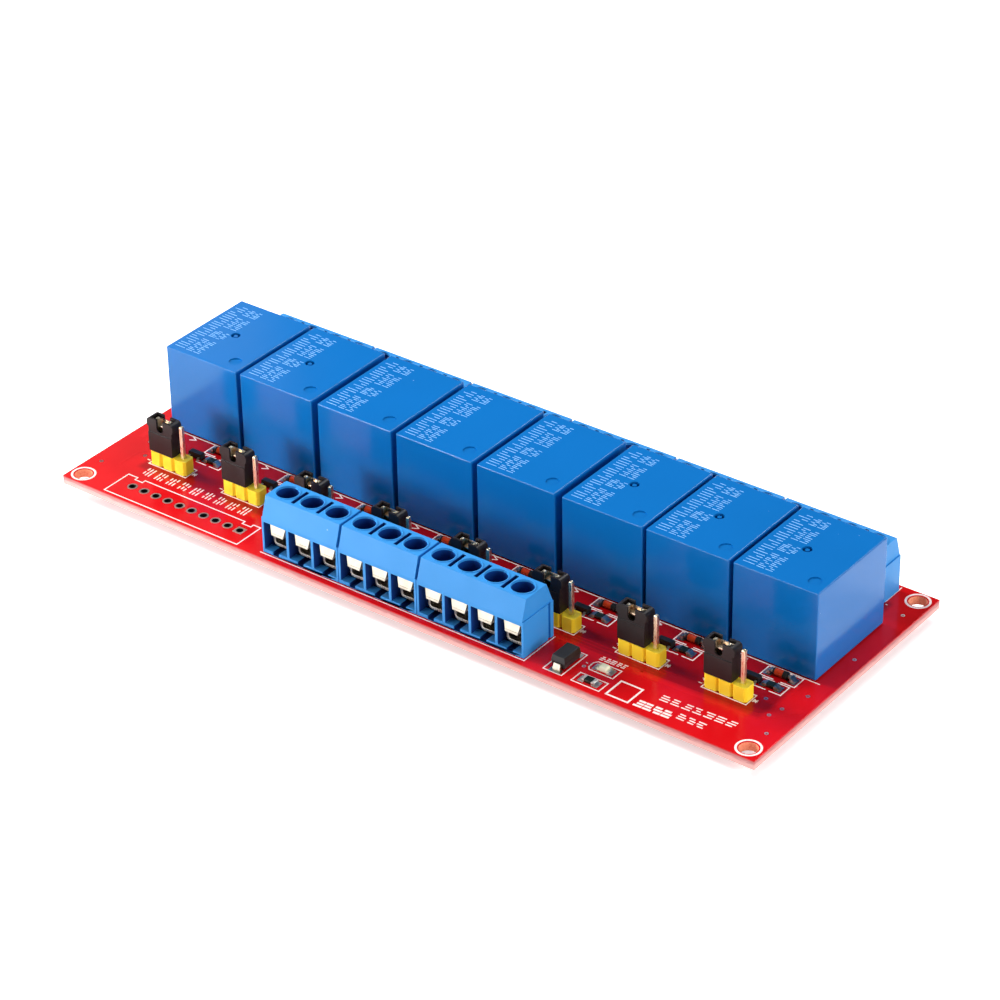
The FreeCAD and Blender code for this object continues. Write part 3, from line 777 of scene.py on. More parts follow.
@dataclass
class CircuitBoard:
    """The board: laminate with round holes, plated pads, vias, print and solder underneath."""

    finishes: Finishes
    thickness: float = BOARD_TOP
    edge_wear: float = 0.06
    mount_inset: tuple[float, float] = (2.5, 2.3)
    mount_diameter: float = 3.0
    header_start: float = 11.66
    header_row: float = 3.99
    pitch: float = PIN_PITCH
    header_pins: int = 10
    header_hole: float = 0.95
    pad_diameter: float = 1.75
    pad_hole: float = 1.2
    ink: float = 0.015
    line: float = 0.2
    fine_line: float = 0.22
    mark_line: float = 0.24
    badge_line: float = 0.32
    heavy_line: float = 0.42
    track_sunk: float = 0.03
    track_rise: float = 0.012
    via_hole: float = 0.28
    via_pad: float = 0.68
    ring_inner: float = 3.44
    ring_outer: float = 4.16
    drill_play: float = 0.03
    via_places: tuple[tuple[float, float], ...] = (
        (2.18, 6.95), (132.66, 6.75), (132.66, 44.6), (127.77, 14.08), (131.13, 13.21), (130.42, 10.83),
        (132.5, 18.12), (101.1, 5.2), (4.6, 16.2), (6.9, 12.4), (3.1, 30.5), (133.0, 30.2))
    corner: Vector = field(default_factory=lambda: node_box("circuit_board").low)
    size: Vector = field(default_factory=lambda: node_box("circuit_board").size)

    def place(self, x: float, y: float, z: float = 0.0) -> Vector:
        """A point given from the board's front left corner, in the part's frame."""
        return Vector((self.corner.x + x, self.corner.y + y, z))

    def mount_places(self) -> list[tuple[float, float]]:
        """The four screw holes, from the front left corner."""
        across, deep = self.mount_inset
        return [(x, y) for x in (across, self.size.x - across) for y in (deep, self.size.y - deep)]

    def header_places(self) -> list[tuple[float, float]]:
        """The ten holes of the empty footprint."""
        return [(self.header_start + self.pitch * pin, self.header_row) for pin in range(self.header_pins)]

    def build_laminate(self) -> None:
        """Makes the laminate: a block with worn edges and round holes."""
        board = add_block("board_laminate", self.corner, self.corner + self.size)
        for number, (x, y) in enumerate(self.mount_places()):
            carve(board, add_rod(f"drill_{number}", self.place(x, y, self.thickness / 2),
                                 self.mount_diameter / 2, 3 * self.thickness, sides=72))
        for number, (x, y) in enumerate(self.header_places()):
            carve(board, add_rod(f"small_drill_{number}", self.place(x, y, self.thickness / 2),
                                 self.header_hole / 2 + self.drill_play, 3 * self.thickness, sides=32))
        round_edges(board, self.edge_wear, 2, 60)
        present(board, self.finishes.board, "red_board", "circuit_board")

    def build_pads(self) -> None:
        """Makes the plated sleeves of the footprint, with a ring pad on both faces. The sleeves and a thin
        ring round each hole are dark, painted shade of the holes.
        """
        rings, sleeves = [], []
        for number, (x, y) in enumerate(self.header_places()):
            for level in (self.thickness + 0.01, -0.01):
                centre = self.place(x, y, level)
                if number == self.header_pins - 1:
                    half = self.pad_diameter / 2
                    pad = add_block(f"square_pad_{number}", centre - Vector((half, half, 0.02)),
                                    centre + Vector((half, half, 0.02)))
                    carve(pad, add_rod("pad_drill", centre, self.pad_hole / 2, 1, sides=32))
                    rings.append(pad)
                else:
                    rings.append(add_ring(f"pad_{number}", centre, self.pad_hole / 2,
                                          self.pad_diameter / 2, 0.04, sides=32))
                # Painted shade: a dark ring between the pad and the hole, as the shadow of its rim.
                sleeves.append(add_ring(f"rim_shade_{number}", centre, self.header_hole / 2 - 0.01,
                                        self.pad_hole / 2 + 0.02, 0.03, sides=32))
            sleeves.append(add_ring(f"sleeve_{number}", self.place(x, y, self.thickness / 2),
                                    self.header_hole / 2 - 0.01, self.header_hole / 2 + self.drill_play,
                                    self.thickness, sides=32))
        present(joined("footprint_pads", rings), self.finishes.metal["pad"], "tinned_lead")
        present(joined("footprint_shaded_barrels", sleeves), self.finishes.metal["shaded_barrel"], "tinned_lead")

    def build_vias(self) -> None:
        """Makes the small through holes of the tracks, each a tinned ring with a dark middle."""
        rings = []
        for number, (x, y) in enumerate(self.via_places):
            for level in (self.thickness + 0.005, -0.005):
                rings.append(add_ring(f"via_{number}", self.place(x, y, level), self.via_hole / 2,
                                      self.via_pad / 2, 0.03, sides=20))
        present(joined("vias", rings), self.finishes.metal["lead"], "tinned_lead")

    def build_mount_rings(self) -> None:
        """Prints a white ring round each screw hole."""
        level = self.thickness + self.ink / 2
        rings = [add_ring(f"hole_ring_{number}", self.place(x, y, level), self.ring_inner / 2,
                          self.ring_outer / 2, self.ink, sides=72)
                 for number, (x, y) in enumerate(self.mount_places())]
        present(joined("hole_rings", rings), self.finishes.ink, "red_board")

    def print_strokes(self, name: str, strokes: Sequence[Stroke], width: float) -> None:
        """Prints strokes on the top face, given from the front left corner."""
        placed = [(self.place(*start).xy, self.place(*end).xy) for start, end in strokes]
        piece = draw_strokes(name, placed, width, self.thickness, self.thickness + self.ink)
        present(piece, self.finishes.ink, "red_board")

    @staticmethod
    def marks(start: Point, end: Point, count: int, height: float, seed: int) -> list[Stroke]:
        """A row of plain marks that stands for a line of print.

        Args:
            start: Where the row begins, at its middle height.
            end: Where the row ends.
            count: The number of marks.
            height: The height of the row.
            seed: Picks one row of marks and gives it again each time.

        Returns:
            The strokes of the row.
        """
        chance = random.Random(seed)
        first, last = Vector(start), Vector(end)
        along = (last - first).normalized()
        up = Vector((-along.y, along.x))
        step = (last - first).length / count
        strokes = []
        for mark in range(count):
            middle = first + along * step * (mark + 0.5)
            half = step * 0.33
            for level in (-0.5, 0.0, 0.5):
                left = -half * chance.choice((1.0, 1.0, 0.4))
                right = half * chance.choice((1.0, 1.0, 0.4))
                base = middle + up * level * height
                strokes.append((base + along * left, base + along * right))
        return strokes

    def build_print(self) -> None:
        """Prints the outlines and the plain marks of the top face."""
        footprint = outline([
            (8.6, 0.6), (36.8, 0.6), (36.8, 6.5), (35.3, 6.5), (35.3, 5.8), (33.5, 5.8),
            (33.5, 6.5), (12.2, 6.5), (12.2, 5.8), (10.6, 5.8), (10.6, 6.5), (8.6, 6.5)])
        self.print_strokes("footprint_outline", footprint, self.line)
        labels = []
        for group in range(9):
            column = 11.0 + 2.55 * group
            labels += self.marks((column, 7.7), (column, 10.0), 2, 1.25, group)
        self.print_strokes("footprint_marks", labels, self.mark_line)
        terminal_line = outline([(41.3, 1.12), (92.95, 1.12), (92.95, 8.94)], closed=False)
        terminal_line += outline([(128.05, 46.3), (128.5, 46.3), (128.5, 51.0)], closed=False)
        terminal_line += [((129.0, 45.7), (129.1, 45.7))]
        self.print_strokes("terminal_outline", terminal_line, self.line)
        self.print_strokes("relay_outline", [((4.6, 21.7), (132.2, 21.7))], self.line)
        supply = outline([(96.4, 1.24), (99.8, 1.24), (99.8, 7.86), (96.4, 7.86)])
        supply += outline([(101.65, 1.15), (106.7, 1.15), (106.7, 3.6), (101.65, 3.6)])
        supply += outline([
            (102.2, 5.0), (106.5, 5.0), (106.5, 7.4), (102.2, 7.4), (101.75, 6.8), (101.75, 5.6)])
        self.print_strokes("supply_outlines", supply, self.line)
        badge = outline([(107.9, 1.3), (111.8, 1.3), (111.8, 5.3), (107.9, 5.3)])
        self.print_strokes("badge_outline", badge, self.badge_line)
        rows = self.marks((101.8, 8.45), (106.6, 8.6), 5, 0.8, 11)
        rows += [((100.9, 6.2), (101.0, 6.2))]
        self.print_strokes("supply_marks", rows, self.fine_line)
        large = self.marks((112.6, 2.1), (119.0, 2.3), 4, 1.3, 21)
        self.print_strokes("large_marks", large, self.heavy_line)
        rows = self.marks((114.9, 5.3), (128.2, 5.8), 7, 1.15, 31)
        rows += self.marks((119.6, 2.9), (124.6, 2.9), 3, 1.1, 41)
        self.print_strokes("line_marks", rows, self.mark_line)

    def build_tracks(self) -> None:
        """Raises the varnish over the copper tracks that show as broad bands or fine lines."""
        wide = outline([(109.4, 8.7), (127.2, 9.4), (129.2, 9.7), (130.8, 11.1), (133.4, 14.1)],
                       closed=False)
        fine = [((93.6, 8.9 + 0.75 * lane), (109.0 + 1.5 * lane, 9.1 + 0.75 * lane)) for lane in range(4)]
        fine += outline([(44.0, 10.2), (39.4, 9.6), (38.4, 8.4), (38.4, 2.4)], closed=False)
        fine += outline([(8.0, 15.8), (5.2, 12.6), (5.2, 8.2)], closed=False)
        edges = [((129.9, 17.0), (129.9, 41.0)), ((2.3, 17.0), (2.3, 41.0))]
        tracks = (("wide_track", wide, 1.3), ("fine_tracks", fine, 0.28), ("side_tracks", edges, 1.1))
        for name, lines, width in tracks:
            placed = [(self.place(*start).xy, self.place(*end).xy) for start, end in lines]
            track = draw_strokes(name, placed, width, self.thickness - self.track_sunk,
                                 self.thickness + self.track_rise)
            present(track, self.finishes.copper_varnish, "red_board")

    def build_liners(self) -> None:
        """Lines the screw holes with a wall painted red, a painted glow of the light that the varnished
        laminate lets through.
        """
        radius, height = self.mount_diameter / 2, self.thickness - 0.14
        liners = [add_ring(f"liner_{number}", self.place(x, y, self.thickness / 2), radius - 0.02,
                           radius + 0.01, height, sides=72)
                  for number, (x, y) in enumerate(self.mount_places())]
        present(joined("hole_liners", liners), self.finishes.painted_glow_liner, "red_board")

    def build(self) -> None:
        """Builds the whole board."""
        self.build_laminate()
        self.build_pads()
        self.build_vias()
        self.build_mount_rings()
        self.build_print()
        self.build_tracks()
        self.build_liners()


@dataclass
class SolderSide:
    """The solder joints on the underside, one round each leg that comes through."""

    finishes: Finishes
    relay_legs: tuple[tuple[float, float], ...] = (
        (0.0, 2.3), (-6.0, 4.3), (6.0, 4.3), (-6.0, 16.5), (6.0, 16.5))
    terminal_leg_line: float = 5.95
    leg_foot: float = 1.25
    leg_neck: float = 0.45
    pin_foot: float = 0.85
    pin_neck: float = 0.4
    rise: float = 1.1
    profile: tuple[tuple[float, float], ...] = ((0.72, 0.12), (0.8, 0.28), (0.85, 0.6))

    def joint(self, name: str, foot: float, neck: float) -> bpy.types.Object:
        """One joint below the board: a flat land and a hollow cone of solder round the leg.

        Args:
            name: The name of the piece.
            foot: The radius of the land.
            neck: The least radius of the tip.

        Returns:
            The joint at the origin.
        """
        land = add_rod(name, (0, 0, -0.02), foot, 0.06, sides=24)
        with editing(land, "FACE"):
            select_faces(land, lambda middle, normal: normal.z < -0.9)
            bpy.ops.mesh.inset(thickness=0.12 * foot * MM)
            for part, (share, drop) in enumerate(self.profile):
                extrude((0, 0, -self.rise * drop))
                width = max(share, neck / foot) if part == len(self.profile) - 1 else share
                stretch((width, width, 1), (0, 0, 0))
        return land

    def places(self) -> dict[str, list[tuple[float, float]]]:
        """Every leg that comes through, in X and Y, under the name of the piece of its joint."""
        legs, pins = [], []
        for number in range(1, CHANNELS + 1):
            cover = node_box(f"relay_cover_{number}")
            legs += [(cover.centre.x + x, cover.low.y + y) for x, y in self.relay_legs]
            header = node_box(f"jumper_header_{number}")
            pins += [(header.low.x + PIN_PITCH * (way + 0.5), header.centre.y) for way in range(PIN_WAYS)]
        for inward, row in ((1, "front"), (-1, "rear")):
            for housing in HousingPlace.row(row):
                line = housing.front + inward * self.terminal_leg_line
                legs += [(housing.start + END_WALL + POLE_PITCH * (pole + 0.5), line)
                         for pole in range(housing.poles)]
        return {"leg_joints": legs, "pin_joints": pins}

    def build(self) -> None:
        """Copies one joint to each leg, in two pieces: heavy joints and pin joints."""
        samples = {"leg_joints": self.joint("heavy_joint", self.leg_foot, self.leg_neck),
                   "pin_joints": self.joint("pin_joint", self.pin_foot, self.pin_neck)}
        for name, places in self.places().items():
            copies = [copied(samples[name], f"{name}_{number}", at(x, y))
                      for number, (x, y) in enumerate(places)]
            discard(samples[name])
            present(joined(name, copies), self.finishes.metal["solder"], "tinned_lead", angle=60)


@dataclass(frozen=True)
class HousingPlace:
    """Where one terminal housing stands: its number, poles, left end and front face."""

    row_name: str
    number: int
    poles: int
    start: float
    front: float

    @property
    def node(self) -> str:
        """The CAD node of this housing."""
        return f"{self.row_name}_terminal_housing_{self.number}"

    def matrix(self, length: float, board_top: float) -> Matrix:
        """The move that brings a housing built at zero to its place."""
        if self.row_name == "front":
            return at(self.start, self.front, board_top)
        return at(self.start + length, self.front, board_top, 180)

    @staticmethod
    def row(name: str, pitch: float = POLE_PITCH, key: float = 0.3,
            play: float = 0.45) -> "list[HousingPlace]":
        """The housings of one row, read from the CAD nodes.

        Args:
            name: front or rear.
            pitch: The distance between poles.
            key: How far the key stands out of one end.
            play: How far the rear row is pushed towards the relays in its holes.

        Returns:
            The places, from left to right.
        """
        places = []
        for number in range(1, 4 if name == "front" else 7):
            limits = node_box(f"{name}_terminal_housing_{number}")
            poles = round(limits.size.x / pitch - 0.1)
            start = limits.low.x + (key if name == "front" else play / 2)
            front = limits.low.y if name == "front" else limits.high.y - play
            places.append(HousingPlace(name, number, poles, start, front))
        return places


@dataclass
class ScrewTerminals:
    """Both rows of screw terminals: housings, rising cages, strips and slotted screws."""

    finishes: Finishes
    board_top: float = BOARD_TOP
    pitch: float = POLE_PITCH
    end_wall: float = END_WALL
    depth: float = 7.7
    height: float = 10.1
    waist: float = 6.5
    front_bevel: float = 1.1
    rear_bevel: float = 1.5
    cheek: float = 0.22
    screw_line: float = 3.6
    bore: float = 3.7
    chamber: float = 4.5
    chamber_back: float = 6.2
    chamber_top: float = 5.7
    lip: float = 0.7
    lip_depth: float = 1.8
    notch: float = 1.15
    # the wells keep a floor, which takes the painted shade of the hollows
    floor: float = 0.12
    slot: float = 0.66
    slot_depth: float = 1.4
    slot_front: float = 1.65
    slot_rear: float = 0.6
    key_line: float = 6.55
    edge: float = 0.09
    rim: float = 0.22
    rim_rise: float = 0.12
    lit_wall: float = 0.3
    cage_half: tuple[float, float] = (1.65, 2.1)
    cage_levels: tuple[float, float] = (1.0, 5.6)
    window_half: float = 1.2
    window_levels: tuple[float, float] = (1.5, 3.9)
    strip_half: float = 1.15
    strip_line: tuple[float, float] = (0.5, 6.15)
    strip_levels: tuple[float, float] = (3.4, 3.8)
    tongue_top: float = 5.3
    tongue_spread: float = 3.1 / 2.3
    tongue_lean: float = 0.3
    leg_half: float = 0.5
    leg_bottom: float = -3.1
    strip_gauge: float = 0.4
    head_radius: float = 1.7
    head_levels: tuple[float, float] = (5.6, 7.2)
    slit_floor: float = 6.5

    def length(self, poles: int) -> float:
        """The length of a housing."""
        return poles * self.pitch + 2 * self.end_wall

    def centres(self, poles: int) -> list[float]:
        """The middle of each pole from the left end."""
        return [self.end_wall + self.pitch * (pole + 0.5) for pole in range(poles)]

    def housing(self, poles: int) -> bpy.types.Object:
        """Models one housing that faces the front, with its left end at zero.

        Args:
            poles: The number of wire entries.

        Returns:
            The moulding, not yet dressed.
        """
        length = self.length(poles)
        middles = self.centres(poles)
        body = add_block(f"housing_{poles}", (0, 0, 0), (length, self.depth, self.waist))
        with editing(body, "FACE"):
            select_faces(body, lambda middle, normal: normal.z > 0.9)
            extrude((0, 0, self.height - self.waist))
        top = self.height - 0.01
        for line, lean in ((0.0, self.front_bevel), (self.depth, -self.rear_bevel)):
            with editing(body, "VERT"):
                select_points(body, lambda point: point.z > top and abs(point.y - line) < 0.01)
                shift((0, lean, 0))
        carve(body, *self.hollows(poles))
        round_edges(body, self.edge, 2, 25)
        carve(body,
              add_block("left_cheek", (-1, -1, self.waist), (self.cheek, self.depth + 1, self.height + 1)),
              add_block("right_cheek", (length - self.cheek, -1, self.waist),
                        (length + 1, self.depth + 1, self.height + 1)),
              add_block("key_way", (length - 0.35, self.key_line - 0.3, -1),
                        (length + 1, self.key_line + 0.3, self.waist)))
        key = add_block("key", (-0.3, self.key_line - 0.25, 0), (0.3, self.key_line + 0.25, self.waist))
        rims = [add_ring("rim", (x, self.screw_line, self.height), self.bore / 2, self.bore / 2 + self.rim,
                         2 * self.rim_rise, sides=56) for x in middles]
        for rim in rims:
            round_edges(rim, 0.08, 2, 60)
        fused(body, key, *rims)
        self.dress_inside(body, middles)
        return body

    def row_of(self, name: str, places: Sequence[float], half: float, front: tuple[float, float],
               levels: tuple[float, float]) -> bpy.types.Object:
        """Makes one cutter: a block for each place along the housing, joined.

        Args:
            name: The name of the cutter.
            places: The middle of each block along X.
            half: Half the width of a block.
            front: Where a block starts and ends along Y.
            levels: Its bottom and its top.

        Returns:
            The cutter.
        """
        return joined(name, [add_block(name, (x - half, front[0], levels[0]), (x + half, front[1], levels[1]))
                             for x in places])

    def hollows(self, poles: int) -> list[bpy.types.Object]:
        """Makes what a housing is hollowed with: chambers, wells, notches, bores and slots.

        Args:
            poles: The number of wire entries.

        Returns:
            The cutters, in the order in which they cut.
        """
        middles = self.centres(poles)
        between = [self.end_wall + self.pitch * pole for pole in range(1, poles)]
        half, above_lip, slot_floor = self.chamber / 2, self.lip + 0.5, self.height - self.slot_depth
        slot_back = self.depth - self.rear_bevel - self.slot_rear
        bore_length = 2 * (self.height - self.chamber_top) + 1
        chambers = self.row_of("chamber", middles, half, (-1, self.chamber_back),
                               (self.lip, self.chamber_top))
        wells = self.row_of("well", middles, half, (self.lip_depth, self.chamber_back),
                            (self.floor, above_lip))
        notches = self.row_of("notch", middles, self.notch / 2, (-1, self.lip_depth + 0.5),
                              (self.floor, above_lip))
        bores = joined("bores", [add_rod("bore", (x, self.screw_line, self.height), self.bore / 2,
                                         bore_length, sides=56) for x in middles])
        slots = self.row_of("slot", between, self.slot / 2, (self.slot_front, slot_back),
                            (slot_floor, self.height + 1))
        return [chambers, wells, notches, bores, slots]

    def dress_inside(self, body: bpy.types.Object, middles: Sequence[float]) -> None:
        """Paints shade on the walls of the bores, chambers, wells and slots with darker matt copies of the
        terminal plastic; the top band of each bore wall keeps the plain plastic.

        Args:
            body: The housing at zero.
            middles: The middle of each pole.
        """
        for material in ("terminal", "terminal_inside_shade", "terminal_bore"):
            body.data.materials.append(self.finishes.plastic[material])
        half, reach = self.chamber / 2 + 0.03, self.bore / 2 + 0.03

        def bored(middle: Vector, top: float) -> bool:
            """Whether a face lies on the wall of a bore, below a height."""
            across = min(abs(middle.x - x) for x in middles)
            return (math.hypot(across, middle.y - self.screw_line) < reach
                    and self.chamber_top - 0.1 < middle.z < top)

        def inside(middle: Vector, normal: Vector) -> bool:
            """Whether a face lies in a chamber or a slot, and not on the lit lip."""
            across = min(abs(middle.x - x) for x in middles)
            pole = (middle.x - self.end_wall) / self.pitch
            between = abs(pole - round(pole))
            lip = normal.z > 0.9 and abs(middle.z - self.lip) < 0.1 and middle.y < self.lip_depth
            hollow = (across < half and 0.12 < middle.y < self.chamber_back + 0.05
                      and 0.1 < middle.z < self.chamber_top + 0.05 and not lip)
            slot = (between * self.pitch < self.slot / 2 + 0.02 and middle.y > self.slot_front
                    and self.height - self.slot_depth - 0.1 < middle.z < self.height - 0.12
                    and self.end_wall + 1 < middle.x < self.length(len(middles)) - 1)
            return hollow or slot

        # Painted shade on the chambers, wells, notches and slots, but not on the lip.
        body.active_material_index = 1
        with editing(body, "FACE"):
            select_faces(body, inside)
            bpy.ops.object.material_slot_assign()
        # Painted shade on the bore walls below their top band.
        lit = self.height - self.lit_wall
        body.active_material_index = 2
        with editing(body, "FACE"):
            select_faces(body, lambda middle, normal: bored(middle, self.height))
            bpy.ops.mesh.bisect(plane_co=(0, 0, lit * MM), plane_no=(0, 0, 1))
            select_faces(body, lambda middle, normal: bored(middle, lit))
            bpy.ops.object.material_slot_assign()

    def cage(self) -> bpy.types.Object:
        """Models one rising cage: a stamped steel loop with a thick top and a round foot."""
        (half, reach), (bottom, top), line = self.cage_half, self.cage_levels, self.screw_line
        loop = add_block("cage", (-half, line - reach, bottom), (half, line + reach, top))
        with editing(loop, "EDGE"):
            select_edges(loop, lambda a, b: max(a.z, b.z) < bottom + 0.1 and abs(a.y - b.y) > 1)
            bevel_selected(0.75, 6)
        low, high = self.window_levels
        window = add_block("window", (-self.window_half, 0, low), (self.window_half, 9, high))
        with editing(window, "EDGE"):
            select_edges(window, lambda a, b: abs(a.y - b.y) > 1)
            bevel_selected(0.35, 4)
        carve(loop, window)
        round_edges(loop, 0.07, 2, 40)
        return loop

    def strip(self) -> bpy.types.Object:
        """Models one tinned strip: a spread tongue in the entry, a shelf and a leg."""
        half, (front, rear), (bottom, top) = self.strip_half, self.strip_line, self.strip_levels
        shelf = add_block("strip", (-half, front, bottom), (half, rear, top))
        tongue = add_block("tongue", (-half, front, bottom),
                           (half, front + self.strip_gauge, self.tongue_top))
        with editing(tongue, "VERT"):
            select_points(tongue, lambda point: point.z > self.tongue_top - 0.1)
            stretch((self.tongue_spread, 1, 1), (0, 0, self.tongue_top))
            shift((0, self.tongue_lean, 0))
        leg = add_block("leg", (-self.leg_half, rear - self.strip_gauge, self.leg_bottom),
                        (self.leg_half, rear, bottom + 0.2))
        fused(shelf, tongue, leg)
        round_edges(shelf, 0.06, 2, 40)
        return shelf

    def screw(self) -> bpy.types.Object:
        """Models one screw head with a crossed slot, domed at its rim."""
        bottom, top = self.head_levels
        line, above = self.screw_line, top + 0.8
        head = add_rod("screw", (0, line, (bottom + top) / 2), self.head_radius, top - bottom, sides=40)
        with editing(head, "EDGE"):
            select_edges(head, lambda a, b: min(a.z, b.z) > top - 0.1)
            bevel_selected(0.3, 4)
        carve(head, add_block("slot", (-2, line - 0.3, self.slit_floor), (2, line + 0.3, above)),
              add_block("cross", (-0.28, line - 1.05, self.slit_floor - 0.1), (0.28, line + 1.05, above)))
        round_edges(head, 0.04, 1, 40)
        return head

    def build(self) -> None:
        """Builds every housing and, for each row, its cages, strips and screws."""
        samples = {poles: self.housing(poles) for poles in (3, 4)}
        fittings = {"cages": (self.cage(), "cage", "plated_steel"),
                    "legs": (self.strip(), "strip", "tinned_strip"),
                    "screws": (self.screw(), "screw", "screw_steel")}
        chance = random.Random(5)
        for row in ("front", "rear"):
            places = HousingPlace.row(row)
            for place in places:
                move = place.matrix(self.length(place.poles), self.board_top)
                body = copied(samples[place.poles], place.node + "_moulding", move)
                present(body, self.finishes.plastic["terminal"], "blue_terminal_plastic", place.node)
            for kind, (sample, metal, slot) in fittings.items():
                pieces = []
                for place in places:
                    move = place.matrix(self.length(place.poles), self.board_top)
                    for x in self.centres(place.poles):
                        spot = move @ at(x, 0)
                        if kind == "screws":
                            turn = at(0, self.screw_line, 0, chance.uniform(0, 180))
                            spot = spot @ turn @ at(0, -self.screw_line)
                        pieces.append(copied(sample, f"{row}_{kind}_{len(pieces)}", spot))
                present(joined(f"{row}_clamp_{kind}", pieces), self.finishes.metal[metal], slot,
                        f"{row}_terminal_{kind}")
        discard(*samples.values(), *(fitting[0] for fitting in fittings.values()))


@dataclass
class RelayRow:
    """The eight sealed relays: covers with vents and ejector marks, print, and the works inside."""

    finishes: Finishes
    vented: tuple[int, ...] = (1, 2, 6, 7, 8)
    wall: float = 0.9
    roof: float = 1.2
    edge: float = 0.2
    apart: float = 0.2
    sunk: float = 0.01
    vent: tuple[float, float] = (7.2, 9.4)
    vent_radius: float = 0.82
    vent_rim: float = 0.45
    vent_core: float = 0.55
    mark: tuple[float, float] = (12.8, 2.8)
    mark_radius: float = 1.1
    stroke: float = 0.13
    rows: tuple[tuple[float, float], ...] = ((1.15, 3.05), (3.6, 4.75), (5.15, 6.3))
    title: tuple[tuple[float, float, int], ...] = ((1.0, 17.6, 12),)
    phrases: tuple[tuple[float, float, int], ...] = (
        (1.0, 5.6, 5), (6.6, 9.0, 3), (10.3, 14.2, 4), (15.2, 17.4, 3))

    def cover(self, limits: Box, vented: bool) -> bpy.types.Object:
        """Models one cover at the place of a relay.

        Args:
            limits: The box of the CAD cover.
            vented: Whether its top has the vent.

        Returns:
            A hollow moulding with rounded edges.
        """
        top = limits.high.z - self.sunk
        shell = add_block("cover", (limits.low.x + self.apart, limits.low.y, limits.low.z),
                          (limits.high.x - self.apart, limits.high.y, top))
        with editing(shell, "EDGE"):
            select_edges(shell, lambda a, b: max(a.z, b.z) > top - 0.1)
            bevel_selected(self.edge, 4)
        low, wall = limits.low, self.wall
        carve(shell, add_block("inside", (low.x + wall, low.y + wall, low.z - 1),
                               (limits.high.x - wall, limits.high.y - wall, top - self.roof)))
        carve(shell, add_rod("ejector", (low.x + self.mark[0], low.y + self.mark[1], top + 0.36),
                             self.mark_radius, 1.0, sides=48, tilt=-3))
        if vented:
            x, y = low.x + self.vent[0], low.y + self.vent[1]
            hole = add_rod("vent", (x, y, top), self.vent_radius, 1.4, sides=48)
            with editing(hole, "FACE"):
                select_faces(hole, lambda middle, normal: normal.z < -0.9)
                bpy.ops.mesh.inset(thickness=self.vent_rim * MM)
                extrude((0, 0, self.vent_core))
            carve(shell, hole)
        return shell

    def print_marks(self, limits: Box, number: int) -> bpy.types.Object:
        """Prints plain bars in three rows along one cover, where real covers carry their ratings.

        Args:
            limits: The box of the CAD cover.
            number: The number in the piece's name.

        Returns:
            The bars, as one piece on the top of the cover.
        """
        chance = random.Random(7)
        strokes = []
        for row, (left, right) in enumerate(self.rows):
            near, far = limits.low.x + left, limits.low.x + right
            middle = (near + far) / 2
            for start, end, count in self.title if row == 0 else self.phrases:
                step = (end - start) / count
                apart = step * 0.27
                for mark in range(count):
                    y = limits.low.y + start + step * (mark + 0.5)
                    strokes.append(((near, y - apart), (chance.choice((far, far, middle)), y - apart)))
                    strokes.append(((chance.choice((near, middle, middle)), y + apart), (far, y + apart)))
        level = limits.high.z
        return draw_strokes(f"relay_print_{number}", strokes, self.stroke, level - self.sunk - 0.02, level)

    def build(self) -> None:
        """Builds the covers and their print, and dresses the works."""
        first = node_box("relay_cover_1")
        samples = {flag: self.cover(first, flag) for flag in (True, False)}
        ink = self.print_marks(first, 0)
        for number in range(1, CHANNELS + 1):
            node = f"relay_cover_{number}"
            move = at(node_box(node).low.x - first.low.x, 0)
            cover = copied(samples[number in self.vented], f"relay_{number}_cover", move)
            present(cover, self.finishes.plastic["relay"], "blue_relay_plastic", node)
            present(copied(ink, f"relay_{number}_print", move), self.finishes.relay_ink,
                    "blue_relay_plastic")
        discard(*samples.values(), ink)
        dress("relay_bases", self.finishes.plastic["base"])
        dress("relay_bobbins", self.finishes.plastic["bobbin"])
        dress("relay_windings", self.finishes.copper)
        for node in ("relay_yokes", "relay_cores", "relay_armatures"):
            dress(node, self.finishes.metal["iron"])
        for node in ("relay_springs", "relay_contacts", "relay_coil_legs"):
            dress(node, self.finishes.metal["spring"])


